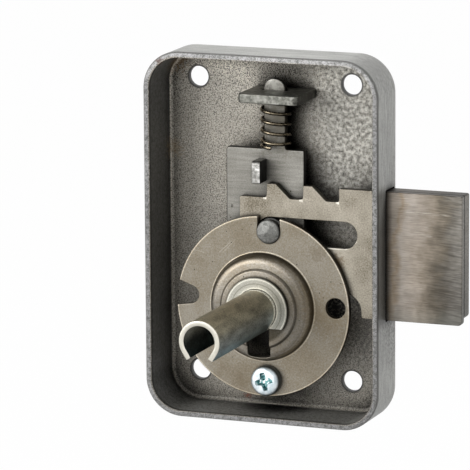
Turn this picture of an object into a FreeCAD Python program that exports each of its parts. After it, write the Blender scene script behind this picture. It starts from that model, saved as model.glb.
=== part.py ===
import FreeCAD, Part
import math
import os

# Screw-on cabinet lock, seen and modelled with its open side towards -Y.
# Millimetres. +Z is up, +X is the way the bolt is thrown, +Y runs into the lock.
# The origin is on the axis of the key tube, in the plane of the open rim.

# Sheet case
wall = 1.5
corner_r = 9.2
bend_r_in = 1.0
rim_edge_r = 0.35
room_left = 5.1
room_right = 7.3
tail_room = 1.5
room_below = 4.2
room_above = 7.9

# Screw holes in the back
screw_hole_r = 2.5
hole_reach_x = 19.8
hole_inset_top = 8.0
hole_inset_bottom = 9.0

# Guide disc
disc_r = 22.3
disc_t = 1.5
boss_foot_r = 13.3
boss_lean = 0.8
ledge_w = 2.55
step_lean = 0.55
boss_rise = 2.8
step_rise = 0.8
boss_thinning = 0.825
boss_fillet = 0.6
boss_shoulder_fillet = 2.0
step_fillet = 0.3
ledge_fillet = 0.15
side_hole_r = 2.5
side_hole_inset = 3.55
side_hole_z = 0.85
side_notch_inset = 3.45
side_notch_z = 1.65
side_notch_r = 2.2
side_notch_upper_slope = 20.0
side_notch_lower_slope = 8.0
bit_slot_w = 5.8
bit_slot_corner_r = 0.8
bit_slot_room = 0.2

# Key tube and its collar
tube_r = 5.1
tube_wall = 1.2
tube_reach = 37.0
tube_tail = 0.6
tube_arc_below = 32.0
tube_leg = 2.1
tube_fit = 0.12
collar_r = 8.0
collar_t = 0.9
collar_cut_z = -4.4

# Toothed bolt
bolt_t = 1.8
bolt_pitch = 9.35
bolt_gap = 0.2
bolt_end_x = 50.2
bolt_tail_x = -6.5
bolt_bottom_z = -1.5
bolt_end_r = 1.0
tooth_x = 0.45
tooth_h = 3.45
tooth_top_w = 2.3
tooth_slope_w = 3.7
tooth_lean = 0.15
tooth_root_r = 0.7
tooth_crest_r = 0.5
tooth_edge_r = 0.3
notch_drop = 3.3
bar_over_slot = 4.8
bar_under_slot = 2.85
slot_half_gap = 0.2
slot_overrun = 0.15
bit_r = 12.0
bit_room = 0.5
talon_w = 4.2
talon_depth = 2.3
talon_edge_r = 0.5
talon_root_r = 0.4
sweep_room = 0.3
heel_x = 24.7
heel_r = 4.4
heel_edge_r = 0.6

# Backing block of the bolt's head
block_t = 3.7
block_short = 1.2
block_lead = 0.6
block_edge_r = 0.6
rivet_r = 1.6
rivet_inset_x = 12.0
rivet_inset_z = 7.5

# Posts
post_x = 1.6
post_r = 3.05
post_shoulder_w = 0.35
post_neck_fit = 0.15
post_head_over = 0.3
post_head_h = 0.8
post_head_gap = 0.1
post_head_edge_r = 0.45
post_base_r = 4.6
tenon_r = 2.0
upset_r = 3.2
upset_h = 0.7
screw_post_x = 1.15
screw_post_r = 3.9
drill_extra = 1.0

# Disc screw
thread_r = 2.0
thread_fit = 0.05
disc_screw_fit = 0.15
screw_len = 6.0
screw_tip_r = 0.4
screw_head_r = 3.75
screw_head_h = 2.6
screw_head_edge_r = 1.43
screw_to_boss = 1.05
recess_turn = 13.0
recess_wing_w = 1.1
recess_span = 4.4
recess_depth = 1.7
recess_core_r = 1.15

# Tumbler
tumbler_t = 1.8
tumbler_gap = 0.15
tumbler_left_x = -10.7
tumbler_right_x = 9.5
tumbler_over_peg = 2.5
tumbler_corner_r = 0.9
tumbler_sharp_r = 0.3
lift_over = 0.3
lift_max = 1.2
drop_max = 2.8
slide_fit = 0.15
stem_x = 1.9
stem_w = 5.6
stem_root_r = 0.25
peg_x = -1.3
peg_w = 2.2
peg_h = 5.5
peg_clear = 0.2
peg_front = 2.5
peg_end_r = 0.9
peg_front_r = 0.3
peg_tenon_w = 1.2
peg_tenon_h = 3.2

# Spring
wire_r = 0.4
spring_fit = 0.06
spring_turns = 4.5
spring_len = 12.1
spring_room = 0.6
spring_seat_gap = 0.05

# Spring bracket
bracket_w = 15.4
bracket_t = 2.2
bracket_x = 3.0
bracket_edge_r = 0.8
bracket_stand_back = 0.3
bracket_hole_fit = 0.3
stem_stand_out = 2.9
bracket_tenon_w = 3.2
bracket_tenon_inset = 2.6
bracket_tenon_out = 0.5

# How far cutters start and stop beyond what they cut, and how near counts as the same place
over = 1.0
close = 1e-4

# Outlines worked out from the values above
boss_shoulder_r = boss_foot_r - boss_lean
boss_step_r = boss_shoulder_r - ledge_w
boss_top_r = boss_step_r - step_lean
side_hole_x = disc_r - side_hole_inset
side_notch_x = side_notch_inset - disc_r
bit_slot_reach = bit_r + bit_slot_room
post_neck_r = post_r - post_shoulder_w
post_head_r = post_neck_r + post_head_over
slot_r = post_r + slot_half_gap
throw = 2 * bolt_pitch
spring_r = math.hypot(stem_w / 2, tumbler_t / 2) + wire_r + spring_fit

# Depths behind the rim, front to back
disc_front = collar_t + step_rise + boss_rise
disc_back = disc_front + disc_t
bolt_front = disc_back + bolt_gap
bolt_back = bolt_front + bolt_t
block_back = bolt_back + block_t
tumbler_front = bolt_back + tumbler_gap
tumbler_back = tumbler_front + tumbler_t
stem_y = tumbler_front + tumbler_t / 2
floor_front = max(stem_y + spring_r + wire_r + spring_room, block_back + bolt_gap)
case_back = floor_front + wall

# Heights worked out from the key upwards
talon_top = bit_r + bit_room
talon_bottom = talon_top - talon_depth
post_z = talon_top + bar_under_slot + slot_r
screw_post_z = -(boss_foot_r + screw_to_boss + screw_head_r)
notch_floor = post_z + slot_r + bar_over_slot
bolt_top = notch_floor + notch_drop
tooth_top = notch_floor + tooth_h
peg_bottom = max(tooth_top, bolt_top) + peg_clear
tumbler_bottom = bit_r - lift_over
tumbler_top = peg_bottom + peg_h + tumbler_over_peg
spring_foot = tumbler_top + spring_seat_gap
bracket_bottom = spring_foot + spring_len
bracket_top = bracket_bottom + bracket_t
stem_top = bracket_top + stem_stand_out

# Outside of the case, worked out from what it holds
case_left = -(max(disc_r + room_left, throw - bolt_tail_x + tail_room) + wall)
case_right = disc_r + room_right + wall
case_bottom = -(disc_r + room_below + wall)
case_top = bracket_top + room_above + wall
case_w = case_right - case_left
case_h = case_top - case_bottom

UP = FreeCAD.Vector(0, 0, 1)
BACK = FreeCAD.Vector(0, 1, 0)


def on_front(across, height):
    """A point of an outline drawn in the XZ plane."""
    return FreeCAD.Vector(across, 0, height)


def on_section(radius, depth):
    """A point of a section drawn in the XY plane, to be turned about Y."""
    return FreeCAD.Vector(radius, depth, 0)


def outline(corners, place=on_front):
    """A flat face with straight sides. Each corner is (first, second) or (first, second, radius)."""
    spots = [place(corner[0], corner[1]) for corner in corners]
    radii = [corner[2] if len(corner) > 2 else 0.0 for corner in corners]
    bends = []
    for i, spot in enumerate(spots):
        if radii[i] <= 0:
            bends.append((spot, None, spot))
            continue
        back = (spots[i - 1] - spot).normalize()
        ahead = (spots[(i + 1) % len(spots)] - spot).normalize()
        half = back.getAngle(ahead) / 2
        run = radii[i] / math.tan(half)
        centre = spot + (back + ahead).normalize() * (radii[i] / math.sin(half))
        middle = centre + (spot - centre).normalize() * radii[i]
        bends.append((spot + back * run, middle, spot + ahead * run))
    edges = []
    for i, (first, middle, last) in enumerate(bends):
        if middle is not None:
            edges.append(Part.Arc(first, middle, last).toShape())
        following = bends[(i + 1) % len(bends)][0]
        if last.distanceToPoint(following) > close:
            edges.append(Part.LineSegment(last, following).toShape())
    return Part.Face(Part.Wire(edges))


def plate(face, front, back):
    """The solid between two depths that has this outline."""
    solid = face.extrude(BACK * (back - front))
    solid.translate(BACK * front)
    return solid


def rod(x, z, radius, front, back):
    """A round bar along Y between two depths."""
    return Part.makeCylinder(radius, back - front, FreeCAD.Vector(x, front, z), BACK)


def block(x_low, x_high, front, back, z_low, z_high):
    """A plain block between its limits."""
    corner = FreeCAD.Vector(x_low, front, z_low)
    return Part.makeBox(x_high - x_low, back - front, z_high - z_low, corner)


def rectangle(x_low, x_high, z_low, z_high, radius):
    """An upright rectangle with four round corners."""
    return outline([
        (x_low, z_low, radius),
        (x_low, z_high, radius),
        (x_high, z_high, radius),
        (x_high, z_low, radius),
    ])


def slot_face(x_low, x_high, z_low, z_high):
    """A slot with round ends, along its longer side."""
    radius = min(x_high - x_low, z_high - z_low) / 2
    return rectangle(x_low, x_high, z_low, z_high, radius - close)


def turned(corners, x=0.0, z=0.0):
    """A solid turned about an axis along Y, from its half section."""
    solid = outline(corners, on_section).revolve(FreeCAD.Vector(0, 0, 0), BACK, 360)
    solid.translate(FreeCAD.Vector(x, 0, z))
    return solid


def edges_where(shape, test):
    """The edges whose both ends and middle pass a test of their place."""
    chosen = []
    for edge in shape.Edges:
        places = [vertex.Point for vertex in edge.Vertexes]
        places.append(edge.valueAt((edge.FirstParameter + edge.LastParameter) / 2))
        if all(test(place) for place in places):
            chosen.append(edge)
    return chosen


def at_depth(depth):
    """A test for edges that lie in one plane of equal depth."""
    return lambda place: abs(place.y - depth) < close


def screw_hole_places():
    """The centres of the four screw holes, as (x, z)."""
    rows = (case_bottom + hole_inset_bottom, case_top - hole_inset_top)
    return [(side * hole_reach_x, row) for side in (-1, 1) for row in rows]


def bracket_tenon_places():
    """The middles of the bracket's two tenons."""
    reach = bracket_w / 2 - bracket_tenon_inset
    return [bracket_x + side * reach for side in (-1, 1)]


def make_case():
    """One sheet drawn into a box: round corners, bent back edge, holes and the bolt's slot."""
    outer = plate(rectangle(case_left, case_right, case_bottom, case_top, corner_r), 0, case_back)
    outer = outer.makeFillet(bend_r_in + wall, edges_where(outer, at_depth(case_back)))
    inner = plate(
        rectangle(
            case_left + wall, case_right - wall,
            case_bottom + wall, case_top - wall,
            corner_r - wall,
        ),
        -over, floor_front,
    )
    inner = inner.makeFillet(bend_r_in, edges_where(inner, at_depth(floor_front)))
    case = outer.cut(inner)
    case = case.makeFillet(rim_edge_r, edges_where(case, at_depth(0)))
    front = floor_front - over
    back = case_back + over
    cuts = [rod(x, z, screw_hole_r, front, back) for x, z in screw_hole_places()]
    for x, z in ((post_x, post_z), (screw_post_x, screw_post_z)):
        cuts.append(rod(x, z, tenon_r, front, back))
    for x in bracket_tenon_places():
        half = bracket_tenon_w / 2
        cuts.append(block(x - half, x + half, front, back, bracket_bottom, bracket_top))
    way = bolt_gap + slot_overrun
    cuts.append(block(
        case_right - wall - over, case_right + over,
        bolt_front - 2 * bolt_gap, block_back + bolt_gap,
        bolt_bottom_z - way, bolt_top + way,
    ))
    return case.cut(cuts)


def upset_end(x, z):
    """The tenon through the back, with its end hammered into a low round head."""
    tenon = rod(x, z, tenon_r, floor_front, case_back)
    dome_r = (upset_r ** 2 + upset_h ** 2) / (2 * upset_h)
    ball = Part.makeSphere(dome_r, FreeCAD.Vector(x, case_back + upset_h - dome_r, z))
    head = ball.common(rod(x, z, upset_r, case_back, case_back + upset_h))
    return tenon.fuse(head)


def make_guide_post():
    """Stepped post: base behind the tumbler, shank, neck for the disc's notch, hammered head."""
    base_front = tumbler_back + tumbler_gap
    neck_front = disc_front - post_head_gap
    head_front = neck_front - post_head_h
    body = turned([
        (0, head_front),
        (post_head_r, head_front, post_head_edge_r),
        (post_head_r, neck_front),
        (post_neck_r, neck_front),
        (post_neck_r, disc_back),
        (post_r, disc_back),
        (post_r, base_front),
        (post_base_r, base_front),
        (post_base_r, floor_front),
        (0, floor_front),
    ], post_x, post_z)
    return body.fuse(upset_end(post_x, post_z)).removeSplitter()


def make_screw_post():
    """Standoff behind the disc's lower hole, drilled for the screw."""
    body = rod(screw_post_x, screw_post_z, screw_post_r, disc_back, floor_front)
    body = body.fuse(upset_end(screw_post_x, screw_post_z)).removeSplitter()
    drill_end = disc_front + screw_len + drill_extra
    return body.cut(rod(screw_post_x, screw_post_z, thread_r, disc_back - over, drill_end))


def make_spring_bracket():
    """Flat lug that stands out of the back, with the stem's hole and two staked tenons."""
    left = bracket_x - bracket_w / 2
    right = bracket_x + bracket_w / 2
    lug = block(left, right, bracket_stand_back, floor_front, bracket_bottom, bracket_top)
    front_plane = at_depth(bracket_stand_back)
    lug = lug.makeFillet(bracket_edge_r, edges_where(
        lug, lambda place: front_plane(place) and min(place.x - left, right - place.x) < close,
    ))
    for x in bracket_tenon_places():
        half = bracket_tenon_w / 2
        lug = lug.fuse(block(
            x - half, x + half, floor_front, case_back + bracket_tenon_out, bracket_bottom, bracket_top,
        ))
    hole_half = stem_w / 2 + bracket_hole_fit
    hole = block(
        stem_x - hole_half, stem_x + hole_half,
        tumbler_front - bracket_hole_fit, tumbler_back + bracket_hole_fit,
        bracket_bottom - over, bracket_top + over,
    )
    return lug.removeSplitter().cut(hole)


def tube_outline(radius, leg_end_r):
    """The C of the tube at one radius: points where the round ends and where each leg ends."""
    low = math.radians(tube_arc_below)
    round_end = on_front(radius * math.cos(low), -radius * math.sin(low))
    leg_way = on_front(-math.sin(low), -math.cos(low))
    return round_end, round_end + leg_way * leg_end_r


def mirrored(point):
    """The same point on the other side of the tube's middle plane."""
    return FreeCAD.Vector(-point.x, point.y, point.z)


def make_key_tube():
    """Strip rolled into a C with two straight legs, open along its underside."""
    outer_turn, outer_tip = tube_outline(tube_r, tube_leg)
    inner_turn, inner_tip = tube_outline(tube_r - tube_wall, tube_leg)
    top_outer = on_front(0, tube_r)
    top_inner = on_front(0, tube_r - tube_wall)
    edges = [
        Part.LineSegment(outer_tip, outer_turn).toShape(),
        Part.Arc(outer_turn, top_outer, mirrored(outer_turn)).toShape(),
        Part.LineSegment(mirrored(outer_turn), mirrored(outer_tip)).toShape(),
        Part.LineSegment(mirrored(outer_tip), mirrored(inner_tip)).toShape(),
        Part.LineSegment(mirrored(inner_tip), mirrored(inner_turn)).toShape(),
        Part.Arc(mirrored(inner_turn), top_inner, inner_turn).toShape(),
        Part.LineSegment(inner_turn, inner_tip).toShape(),
        Part.LineSegment(inner_tip, outer_tip).toShape(),
    ]
    return plate(Part.Face(Part.Wire(edges)), -tube_reach, tube_end())


def tube_end():
    """How far the tube's foot goes in: through the boss, and a little past it."""
    return collar_t + disc_t + tube_tail


def tube_passage(gap, front, back):
    """The solid outline of the tube, grown by a gap, for the pieces it passes through."""
    outer_turn, outer_tip = tube_outline(tube_r + gap, tube_leg + gap)
    edges = [
        Part.Arc(outer_turn, on_front(0, tube_r + gap), mirrored(outer_turn)).toShape(),
        Part.LineSegment(mirrored(outer_turn), mirrored(outer_tip)).toShape(),
        Part.LineSegment(mirrored(outer_tip), outer_tip).toShape(),
        Part.LineSegment(outer_tip, outer_turn).toShape(),
    ]
    return plate(Part.Face(Part.Wire(edges)), front, back)


def make_tube_collar():
    """Ring round the tube's foot, cut off level below so that the key's bit can pass."""
    ring = rod(0, 0, collar_r, 0, collar_t)
    side = collar_r + over
    below = block(-side, side, -over, collar_t + over, -side, collar_cut_z)
    return ring.cut([tube_passage(0, -over, collar_t + over), below])


def make_guide_disc():
    """Disc pressed up in two steps round the tube, with its notches, holes and bit slot."""
    rise_top = collar_t
    shoulder = collar_t + step_rise
    inset = boss_thinning
    disc = turned([
        (0, rise_top),
        (boss_top_r, rise_top, step_fillet),
        (boss_step_r, shoulder, ledge_fillet),
        (boss_shoulder_r, shoulder, boss_shoulder_fillet),
        (boss_foot_r, disc_front, boss_fillet),
        (disc_r, disc_front),
        (disc_r, disc_back),
        (boss_foot_r - inset, disc_back, boss_fillet),
        (boss_shoulder_r - inset, shoulder + disc_t, boss_fillet),
        (boss_step_r - inset, shoulder + disc_t, ledge_fillet),
        (boss_top_r - inset, rise_top + disc_t, step_fillet),
        (0, rise_top + disc_t),
    ])
    front = rise_top - over
    back = disc_back + over
    bit_slot = block(-bit_slot_w / 2, bit_slot_w / 2, front, back, -bit_slot_reach, 0)
    bit_slot = bit_slot.common(rod(0, 0, bit_slot_reach, front, back))
    bit_slot = bit_slot.makeFillet(bit_slot_corner_r, edges_where(bit_slot, at_slot_end))
    neck = post_neck_r + post_neck_fit
    notch_end = post_z + disc_r
    top_notch = plate(slot_face(post_x - neck, post_x + neck, post_z - neck, notch_end), front, back)
    cuts = [
        tube_passage(tube_fit, front, back),
        bit_slot,
        top_notch,
        rod(side_hole_x, side_hole_z, side_hole_r, front, back),
        rod(screw_post_x, screw_post_z, thread_r + disc_screw_fit, front, back),
        side_notch(front, back),
    ]
    return disc.cut(cuts)


def at_slot_end(place):
    """A test for the two upright corners at the far end of the bit slot."""
    return place.z < -bit_slot_w and abs(abs(place.x) - bit_slot_w / 2) < close


def side_notch(front, back):
    """Notch in the disc's left edge: a round end that opens out with two sloping sides."""
    run = side_notch_inset + side_notch_r
    upper = math.radians(side_notch_upper_slope)
    lower = math.radians(side_notch_lower_slope)
    upper_start = (
        side_notch_x + side_notch_r * math.sin(upper),
        side_notch_z + side_notch_r * math.cos(upper),
    )
    lower_start = (
        side_notch_x + side_notch_r * math.sin(lower),
        side_notch_z - side_notch_r * math.cos(lower),
    )
    mouth = outline([
        upper_start,
        lower_start,
        (lower_start[0] - run * math.cos(lower), lower_start[1] - run * math.sin(lower)),
        (upper_start[0] - run * math.cos(upper), upper_start[1] + run * math.sin(upper)),
    ])
    round_end = rod(side_notch_x, side_notch_z, side_notch_r, front, back)
    return round_end.fuse(plate(mouth, front, back))


def make_disc_screw():
    """Pan-head screw with a cross recess."""
    head_front = disc_front - screw_head_h
    screw = turned([
        (0, head_front),
        (screw_head_r, head_front, screw_head_edge_r),
        (screw_head_r, disc_front),
        (thread_r - thread_fit, disc_front),
        (thread_r - thread_fit, disc_front + screw_len, screw_tip_r),
        (0, disc_front + screw_len),
    ], screw_post_x, screw_post_z)
    wing = recess_wing_w / 2
    span = recess_span / 2
    bottom = head_front + recess_depth
    middle = on_front(screw_post_x, screw_post_z)
    cuts = [rod(screw_post_x, screw_post_z, recess_core_r, head_front - over, bottom)]
    for across, along in ((wing, span), (span, wing)):
        bar = block(
            screw_post_x - across, screw_post_x + across, head_front - over, bottom,
            screw_post_z - along, screw_post_z + along,
        )
        bar.rotate(middle, BACK, -recess_turn)
        cuts.append(bar)
    return screw.cut(cuts)


def make_bolt_plate():
    """Toothed plate: teeth above for the peg, talons below for the key, guide slot between."""
    near_talon = bolt_pitch / 2
    far_talon = near_talon + bolt_pitch
    half = talon_w / 2
    corners = [(bolt_tail_x, talon_bottom, talon_edge_r), (bolt_tail_x, notch_floor, tooth_edge_r)]
    for tooth in range(2):
        face = tooth_x + tooth * bolt_pitch
        corners += [
            (face, notch_floor, tooth_root_r),
            (face + tooth_lean, tooth_top, tooth_edge_r),
            (face + tooth_top_w, tooth_top, tooth_crest_r),
            (face + tooth_top_w + tooth_slope_w, notch_floor, tooth_edge_r),
        ]
    body_face = tooth_x + 2 * bolt_pitch
    corners += [
        (body_face, notch_floor, tooth_root_r),
        (body_face, bolt_top, tooth_edge_r),
        (bolt_end_x, bolt_top, bolt_end_r),
        (bolt_end_x, bolt_bottom_z, bolt_end_r),
        (heel_x, bolt_bottom_z, heel_edge_r),
        (heel_x, 0),
        (far_talon + half, 0),
        (far_talon + half, talon_top, talon_edge_r),
        (far_talon - half, talon_top, talon_edge_r),
        (far_talon - half, talon_bottom, talon_root_r),
        (near_talon + half, talon_bottom, talon_root_r),
        (near_talon + half, talon_top, talon_edge_r),
        (near_talon - half, talon_top, talon_edge_r),
        (near_talon - half, talon_bottom, talon_root_r),
    ]
    body = plate(outline(corners), bolt_front, bolt_back)
    front = bolt_front - over
    back = bolt_back + over
    guide = slot_face(
        post_x - slot_overrun - slot_r, post_x + throw + slot_overrun + slot_r,
        post_z - slot_r, post_z + slot_r,
    )
    sweep_r = bit_r + sweep_room
    sweep = rod(bolt_pitch, 0, sweep_r, front, back)
    beyond_talons = block(far_talon + half, bolt_pitch + sweep_r, front, back, -sweep_r, sweep_r)
    cuts = [
        plate(guide, front, back),
        sweep.common(beyond_talons),
        rod(heel_x - heel_r, 0, heel_r, front, back),
    ]
    cuts += [rod(x, z, rivet_r, front, back) for x, z in rivet_places()]
    return body.cut(cuts)


def rivet_places():
    """The middles of the two rivets in the bolt's head, as (x, z)."""
    x = bolt_end_x - rivet_inset_x
    return [(x, bolt_bottom_z + rivet_inset_z), (x, bolt_top - rivet_inset_z)]


def make_bolt_block():
    """Backing layer that makes the bolt's head thick where it stands out of the case."""
    left = case_right - wall - block_lead
    face = outline([
        (left, bolt_bottom_z + block_short),
        (left, bolt_top),
        (bolt_end_x, bolt_top, bolt_end_r),
        (bolt_end_x, bolt_bottom_z + block_short, bolt_end_r),
    ])
    body = plate(face, bolt_back, block_back)
    body = body.makeFillet(block_edge_r, edges_where(body, at_depth(block_back)))
    return body.cut([rod(x, z, rivet_r, bolt_back - over, block_back + over) for x, z in rivet_places()])


def make_bolt_rivets():
    """Two flush rivets through both layers of the head."""
    pins = [rod(x, z, rivet_r, bolt_front, block_back) for x, z in rivet_places()]
    return Part.makeCompound(pins)


def make_tumbler():
    """Sheet plate with a stem above for the spring and an upright slot for the post."""
    stem_left = stem_x - stem_w / 2
    stem_right = stem_x + stem_w / 2
    face = outline([
        (tumbler_left_x, tumbler_bottom, tumbler_corner_r),
        (tumbler_left_x, tumbler_top, tumbler_corner_r),
        (stem_left, tumbler_top, stem_root_r),
        (stem_left, stem_top, stem_w / 2 - close),
        (stem_right, stem_top, stem_w / 2 - close),
        (stem_right, tumbler_top, stem_root_r),
        (tumbler_right_x, tumbler_top, tumbler_sharp_r),
        (tumbler_right_x, tumbler_bottom, tumbler_corner_r),
    ])
    body = plate(face, tumbler_front, tumbler_back)
    reach = post_r + slide_fit
    guide = slot_face(
        post_x - reach, post_x + reach,
        post_z - lift_max - reach, post_z + drop_max + reach,
    )
    half_w = peg_tenon_w / 2
    middle = peg_bottom + peg_h / 2
    window = block(
        peg_x - half_w, peg_x + half_w, tumbler_front - over, tumbler_back + over,
        middle - peg_tenon_h / 2, middle + peg_tenon_h / 2,
    )
    return body.cut([plate(guide, tumbler_front - over, tumbler_back + over), window])


def make_tumbler_peg():
    """Flat peg that drops between the bolt's teeth, riveted in the tumbler by a tenon."""
    half = peg_w / 2
    stub = plate(
        rectangle(peg_x - half, peg_x + half, peg_bottom, peg_bottom + peg_h, peg_end_r),
        bolt_front - peg_front, tumbler_front,
    )
    stub = stub.makeFillet(peg_front_r, edges_where(stub, at_depth(bolt_front - peg_front)))
    middle = peg_bottom + peg_h / 2
    tenon = block(
        peg_x - peg_tenon_w / 2, peg_x + peg_tenon_w / 2, tumbler_front, tumbler_back,
        middle - peg_tenon_h / 2, middle + peg_tenon_h / 2,
    )
    return stub.fuse(tenon).removeSplitter()


def make_tumbler_spring():
    """Left-hand compression spring between the tumbler's shoulder and the bracket."""
    rise = spring_len - 2 * wire_r - 2 * spring_seat_gap
    helix = Part.makeHelix(rise / spring_turns, rise, spring_r, 0, True)
    start = FreeCAD.Vector(spring_r, 0, 0)
    section = Part.Wire([Part.makeCircle(wire_r, start, BACK)])
    coil = Part.Wire(helix.Edges).makePipeShell([section], True, True)
    coil.rotate(FreeCAD.Vector(0, 0, 0), UP, -90)
    coil.translate(FreeCAD.Vector(stem_x, stem_y, spring_foot + wire_r))
    return coil


def main():
    """Builds each piece and writes it to its own file."""
    os.makedirs("parts", exist_ok=True)
    makers = {
        "case": make_case,
        "guide_post": make_guide_post,
        "screw_post": make_screw_post,
        "spring_bracket": make_spring_bracket,
        "guide_disc": make_guide_disc,
        "key_tube": make_key_tube,
        "tube_collar": make_tube_collar,
        "disc_screw": make_disc_screw,
        "bolt_plate": make_bolt_plate,
        "bolt_block": make_bolt_block,
        "bolt_rivets": make_bolt_rivets,
        "tumbler": make_tumbler,
        "tumbler_peg": make_tumbler_peg,
        "tumbler_spring": make_tumbler_spring,
    }
    for name, make in makers.items():
        shape = make()
        if not shape.isValid():
            raise ValueError(name + " is not a valid solid")
        shape.exportStep(os.path.join("parts", name + ".step"))
        print("%-16s %d solid(s) %9.1f mm3" % (name, len(shape.Solids), shape.Volume))
    print("case %.2f x %.2f x %.2f mm, bolt throw %.2f mm" % (case_w, case_h, case_back, throw))


main()
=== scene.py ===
"""Looks of a screw-on cabinet lock, seen from its open side.

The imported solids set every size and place. This file gives each piece its real edges and its finish,
and adds the studio and the camera. The classes hold millimetres, and Blender's meshes are in metres.
"""
import itertools
import logging
import math
from collections.abc import Callable, Iterable, Sequence
from dataclasses import dataclass
from enum import Enum
from functools import partial

import bmesh
import bpy
import numpy as np
from mathutils import Matrix, Vector
from mathutils.geometry import delaunay_2d_cdt


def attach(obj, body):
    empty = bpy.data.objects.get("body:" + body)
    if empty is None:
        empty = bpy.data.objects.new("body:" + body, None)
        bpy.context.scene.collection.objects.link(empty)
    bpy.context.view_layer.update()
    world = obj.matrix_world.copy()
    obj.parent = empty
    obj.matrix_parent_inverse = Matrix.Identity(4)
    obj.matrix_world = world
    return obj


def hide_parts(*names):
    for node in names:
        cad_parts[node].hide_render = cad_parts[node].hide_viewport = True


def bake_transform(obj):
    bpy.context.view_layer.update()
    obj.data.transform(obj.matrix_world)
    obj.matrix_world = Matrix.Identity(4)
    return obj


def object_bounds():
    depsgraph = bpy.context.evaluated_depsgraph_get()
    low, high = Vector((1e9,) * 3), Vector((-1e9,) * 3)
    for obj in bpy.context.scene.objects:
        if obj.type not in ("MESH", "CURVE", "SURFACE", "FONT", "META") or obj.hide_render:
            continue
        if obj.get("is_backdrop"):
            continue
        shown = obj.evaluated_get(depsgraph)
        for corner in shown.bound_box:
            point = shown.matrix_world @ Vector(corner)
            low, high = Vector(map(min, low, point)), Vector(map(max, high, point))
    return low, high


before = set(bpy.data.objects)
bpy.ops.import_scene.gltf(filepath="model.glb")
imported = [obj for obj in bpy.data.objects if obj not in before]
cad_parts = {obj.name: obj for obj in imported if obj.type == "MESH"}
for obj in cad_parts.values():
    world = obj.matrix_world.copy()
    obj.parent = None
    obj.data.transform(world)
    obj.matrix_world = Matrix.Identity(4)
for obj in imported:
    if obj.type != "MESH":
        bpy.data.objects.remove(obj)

LOG = logging.getLogger("cabinet_lock")
MM = 0.001
# The share of an even mix.
EVENLY = 0.5
# Stretches a vector so that its depth no longer counts.
FLAT = (1.0, 0.0, 1.0)
# The way that the key's axis runs.
AXIS = (0.0, 1.0, 0.0)
# The least and the most degrees between two points of an arc.
ARC_TURNS = (1.5, 12.0)
# How far apart points round a rounded corner lie.
ROUND_CHORD = 0.3
# How near two points of an outline may lie before they are taken for one.
NEARLY = 1e-5

Spot = tuple[float, float]
Place = tuple[float, float, float]
Line = Sequence[Spot]
Corner = tuple[float, ...]
Span = tuple[float, ...]
Stops = tuple[tuple[float, str], ...]
Look = dict[str, object]
Socket = bpy.types.NodeSocket


class Body(str, Enum):
    """The groups of pieces that move together."""

    LOCK = "lock_body"
    BOLT = "bolt"
    TUMBLER = "tumbler_group"


class Grain(Enum):
    """How marks are drawn out along X, Y and Z: the small number is along them."""

    NONE = (1.0, 1.0, 1.0)
    LENGTHWAYS = (0.08, 1.0, 1.0)
    DRAWN = (0.06, 1.0, 1.0)
    UPRIGHT = (1.0, 1.0, 0.1)
    INWARD = (1.0, 0.4, 1.0)


class Node(Enum):
    """What a node does: its class name without ShaderNode, and its settings."""

    PLACES = ("TexCoord",)
    PART = ("SeparateXYZ",)
    CHANNEL = ("SeparateColor",)
    TURN = ("VectorRotate",)
    MAPPING = ("Mapping",)
    NOISE = ("TexNoise",)
    CELLS = ("TexVoronoi",)
    OPEN_AIR = ("AmbientOcclusion",)
    RAYS = ("LightPath",)
    RAMP = ("ValToRGB",)
    SPAN = ("MapRange",)
    MIX = ("Mix", ("data_type", "FLOAT"))
    BLEND = ("Mix", ("data_type", "RGBA"))
    TINT = ("Mix", ("data_type", "RGBA"), ("blend_type", "MULTIPLY"))
    TIMES = ("Math", ("operation", "MULTIPLY"))
    PLUS = ("Math", ("operation", "ADD"))
    MINUS = ("Math", ("operation", "SUBTRACT"))
    SIZE = ("Math", ("operation", "ABSOLUTE"))
    BELOW = ("Math", ("operation", "LESS_THAN"))
    EITHER = ("Math", ("operation", "MAXIMUM"))
    FROM = ("VectorMath", ("operation", "SUBTRACT"))
    STRETCH = ("VectorMath", ("operation", "MULTIPLY"))
    SIZES = ("VectorMath", ("operation", "ABSOLUTE"))
    ALONG = ("VectorMath", ("operation", "DOT_PRODUCT"))
    LENGTH = ("VectorMath", ("operation", "LENGTH"))
    DISTANCE = ("VectorMath", ("operation", "DISTANCE"))
    BUMP = ("Bump",)
    METAL = ("BsdfPrincipled",)
    PAPER = ("BsdfDiffuse",)
    GLOW = ("Emission",)
    BOTH = ("MixShader",)
    SURFACE = ("OutputMaterial",)
    SKY = ("Background",)
    WORLD = ("OutputWorld",)


def linear(code: str) -> tuple[float, float, float, float]:
    """Turns an sRGB hex colour into the linear colour that shaders take.

    Args:
        code: Six hex digits after a #.

    Returns:
        Red, green, blue and an alpha of 1.
    """
    parts = [int(code[i:i + 2], 16) / 255 for i in (1, 3, 5)]
    red, green, blue = [p / 12.92 if p <= 0.04045 else ((p + 0.055) / 1.055) ** 2.4 for p in parts]
    return red, green, blue, 1.0


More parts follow.
